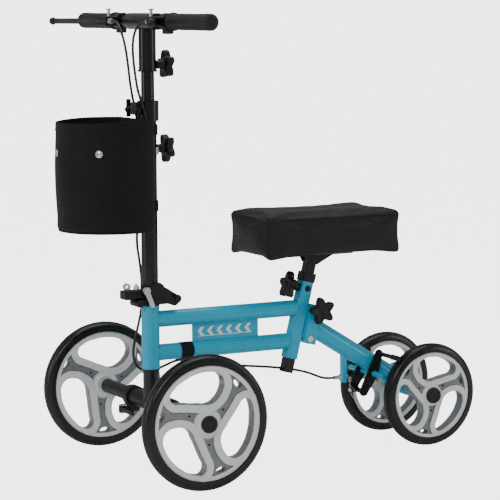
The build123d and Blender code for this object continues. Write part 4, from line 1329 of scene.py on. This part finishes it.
def make_cables():
    for name, route in (("cable_left", left_route), ("cable_right", right_route)):
        cable = made(name, swept(route_line(route), CABLE_RADIUS), jacket)
        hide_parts("cables_upper")
        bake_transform(cable)
    line = route_line(main_route)
    below_fold = next(i for i, p in enumerate(line) if p.z < 0.315)
    on_frame = next(i for i, p in enumerate(line) if p.x < 0.198 and p.z < 0.25)
    upper = made("cable_main_upper", swept(line[: below_fold + 1], CABLE_RADIUS), jacket)
    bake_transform(upper)
    middle = made("cable_main_middle", swept(line[below_fold : on_frame + 1], CABLE_RADIUS), jacket)
    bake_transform(middle)
    rear = made("cable_main_rear", swept(line[on_frame:], CABLE_RADIUS), jacket)
    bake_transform(rear)
    for cable in (upper, middle, rear):
        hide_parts("cable_main")


def make_joiner():
    """The two-into-one cable junction with its end collars."""
    half_x, half_y = 0.0046, 0.0062
    outline = rounded_outline(half_x, half_y, 0.0036, 0.0, 6)
    levels = [(0.527, 0.0008), (0.5282, 0.0), (0.5618, 0.0), (0.563, 0.0008)]
    x, y = main_route[0][:2]
    points = []
    for height, inset in levels:
        for p in outline:
            points.append((x + p.x * (1 - inset / half_x), y + p.y * (1 - inset / half_y), height))
    faces = skinned(len(levels), len(outline)) + ends(len(levels), len(outline))
    shells = [(points, faces)]
    collar = [(0.0, 0.0033), (0.0006, 0.0037), (0.0066, 0.0037), (0.0072, 0.0030)]
    for origin in ((x, y, 0.521), left_route[-1], right_route[-1]):
        shells.append(stood(turned(collar, 24), origin))
    joiner = made("cable_joiner", joined_shells(*shells), moulded)
    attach(joiner, "mast")


def make_brake_wire():
    """The bare wire, its coil spring and its nipple at the rear brake."""
    start, end = Vector((-0.1935, 0, 0.1378)), Vector((-0.1945, 0, 0.1285))
    axis = end - start
    side = axis.orthogonal().normalized()
    other = axis.normalized().cross(side)
    turns = 6
    coil = []
    for step in range(turns * 18 + 1):
        share = step / (turns * 18)
        angle = math.tau * turns * share
        coil.append(start + axis * share + 0.0031 * (side * math.cos(angle) + other * math.sin(angle)))
    spring = made("return_spring", swept(coil, 0.00055, 8), steel)
    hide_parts("brake_spring")
    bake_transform(spring)
    wire_line = route_line([
        (-0.188, 0, 0.139), (-0.1925, 0, 0.1375), (-0.1938, 0, 0.131), (-0.1945, 0, 0.121),
        (-0.1952, 0, 0.109), (-0.198, 0.0005, 0.099), (-0.2045, 0.001, 0.0905), (-0.214, 0.001, 0.0845),
    ])
    wire = swept(wire_line, 0.0007, 8)
    nipple = [
        (-0.0042, 0.0008), (-0.0036, 0.0024), (-0.0016, 0.0040), (0.0008, 0.0043), (0.0028, 0.0034),
        (0.004, 0.0014),
    ]
    fitting = stood(turned(nipple, 24), (-0.1951, 0, 0.111))
    bare = made("brake_wire", joined_shells(wire, fitting), steel)
    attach(bare, "brake_rocker")


make_cables()
make_joiner()
make_brake_wire()
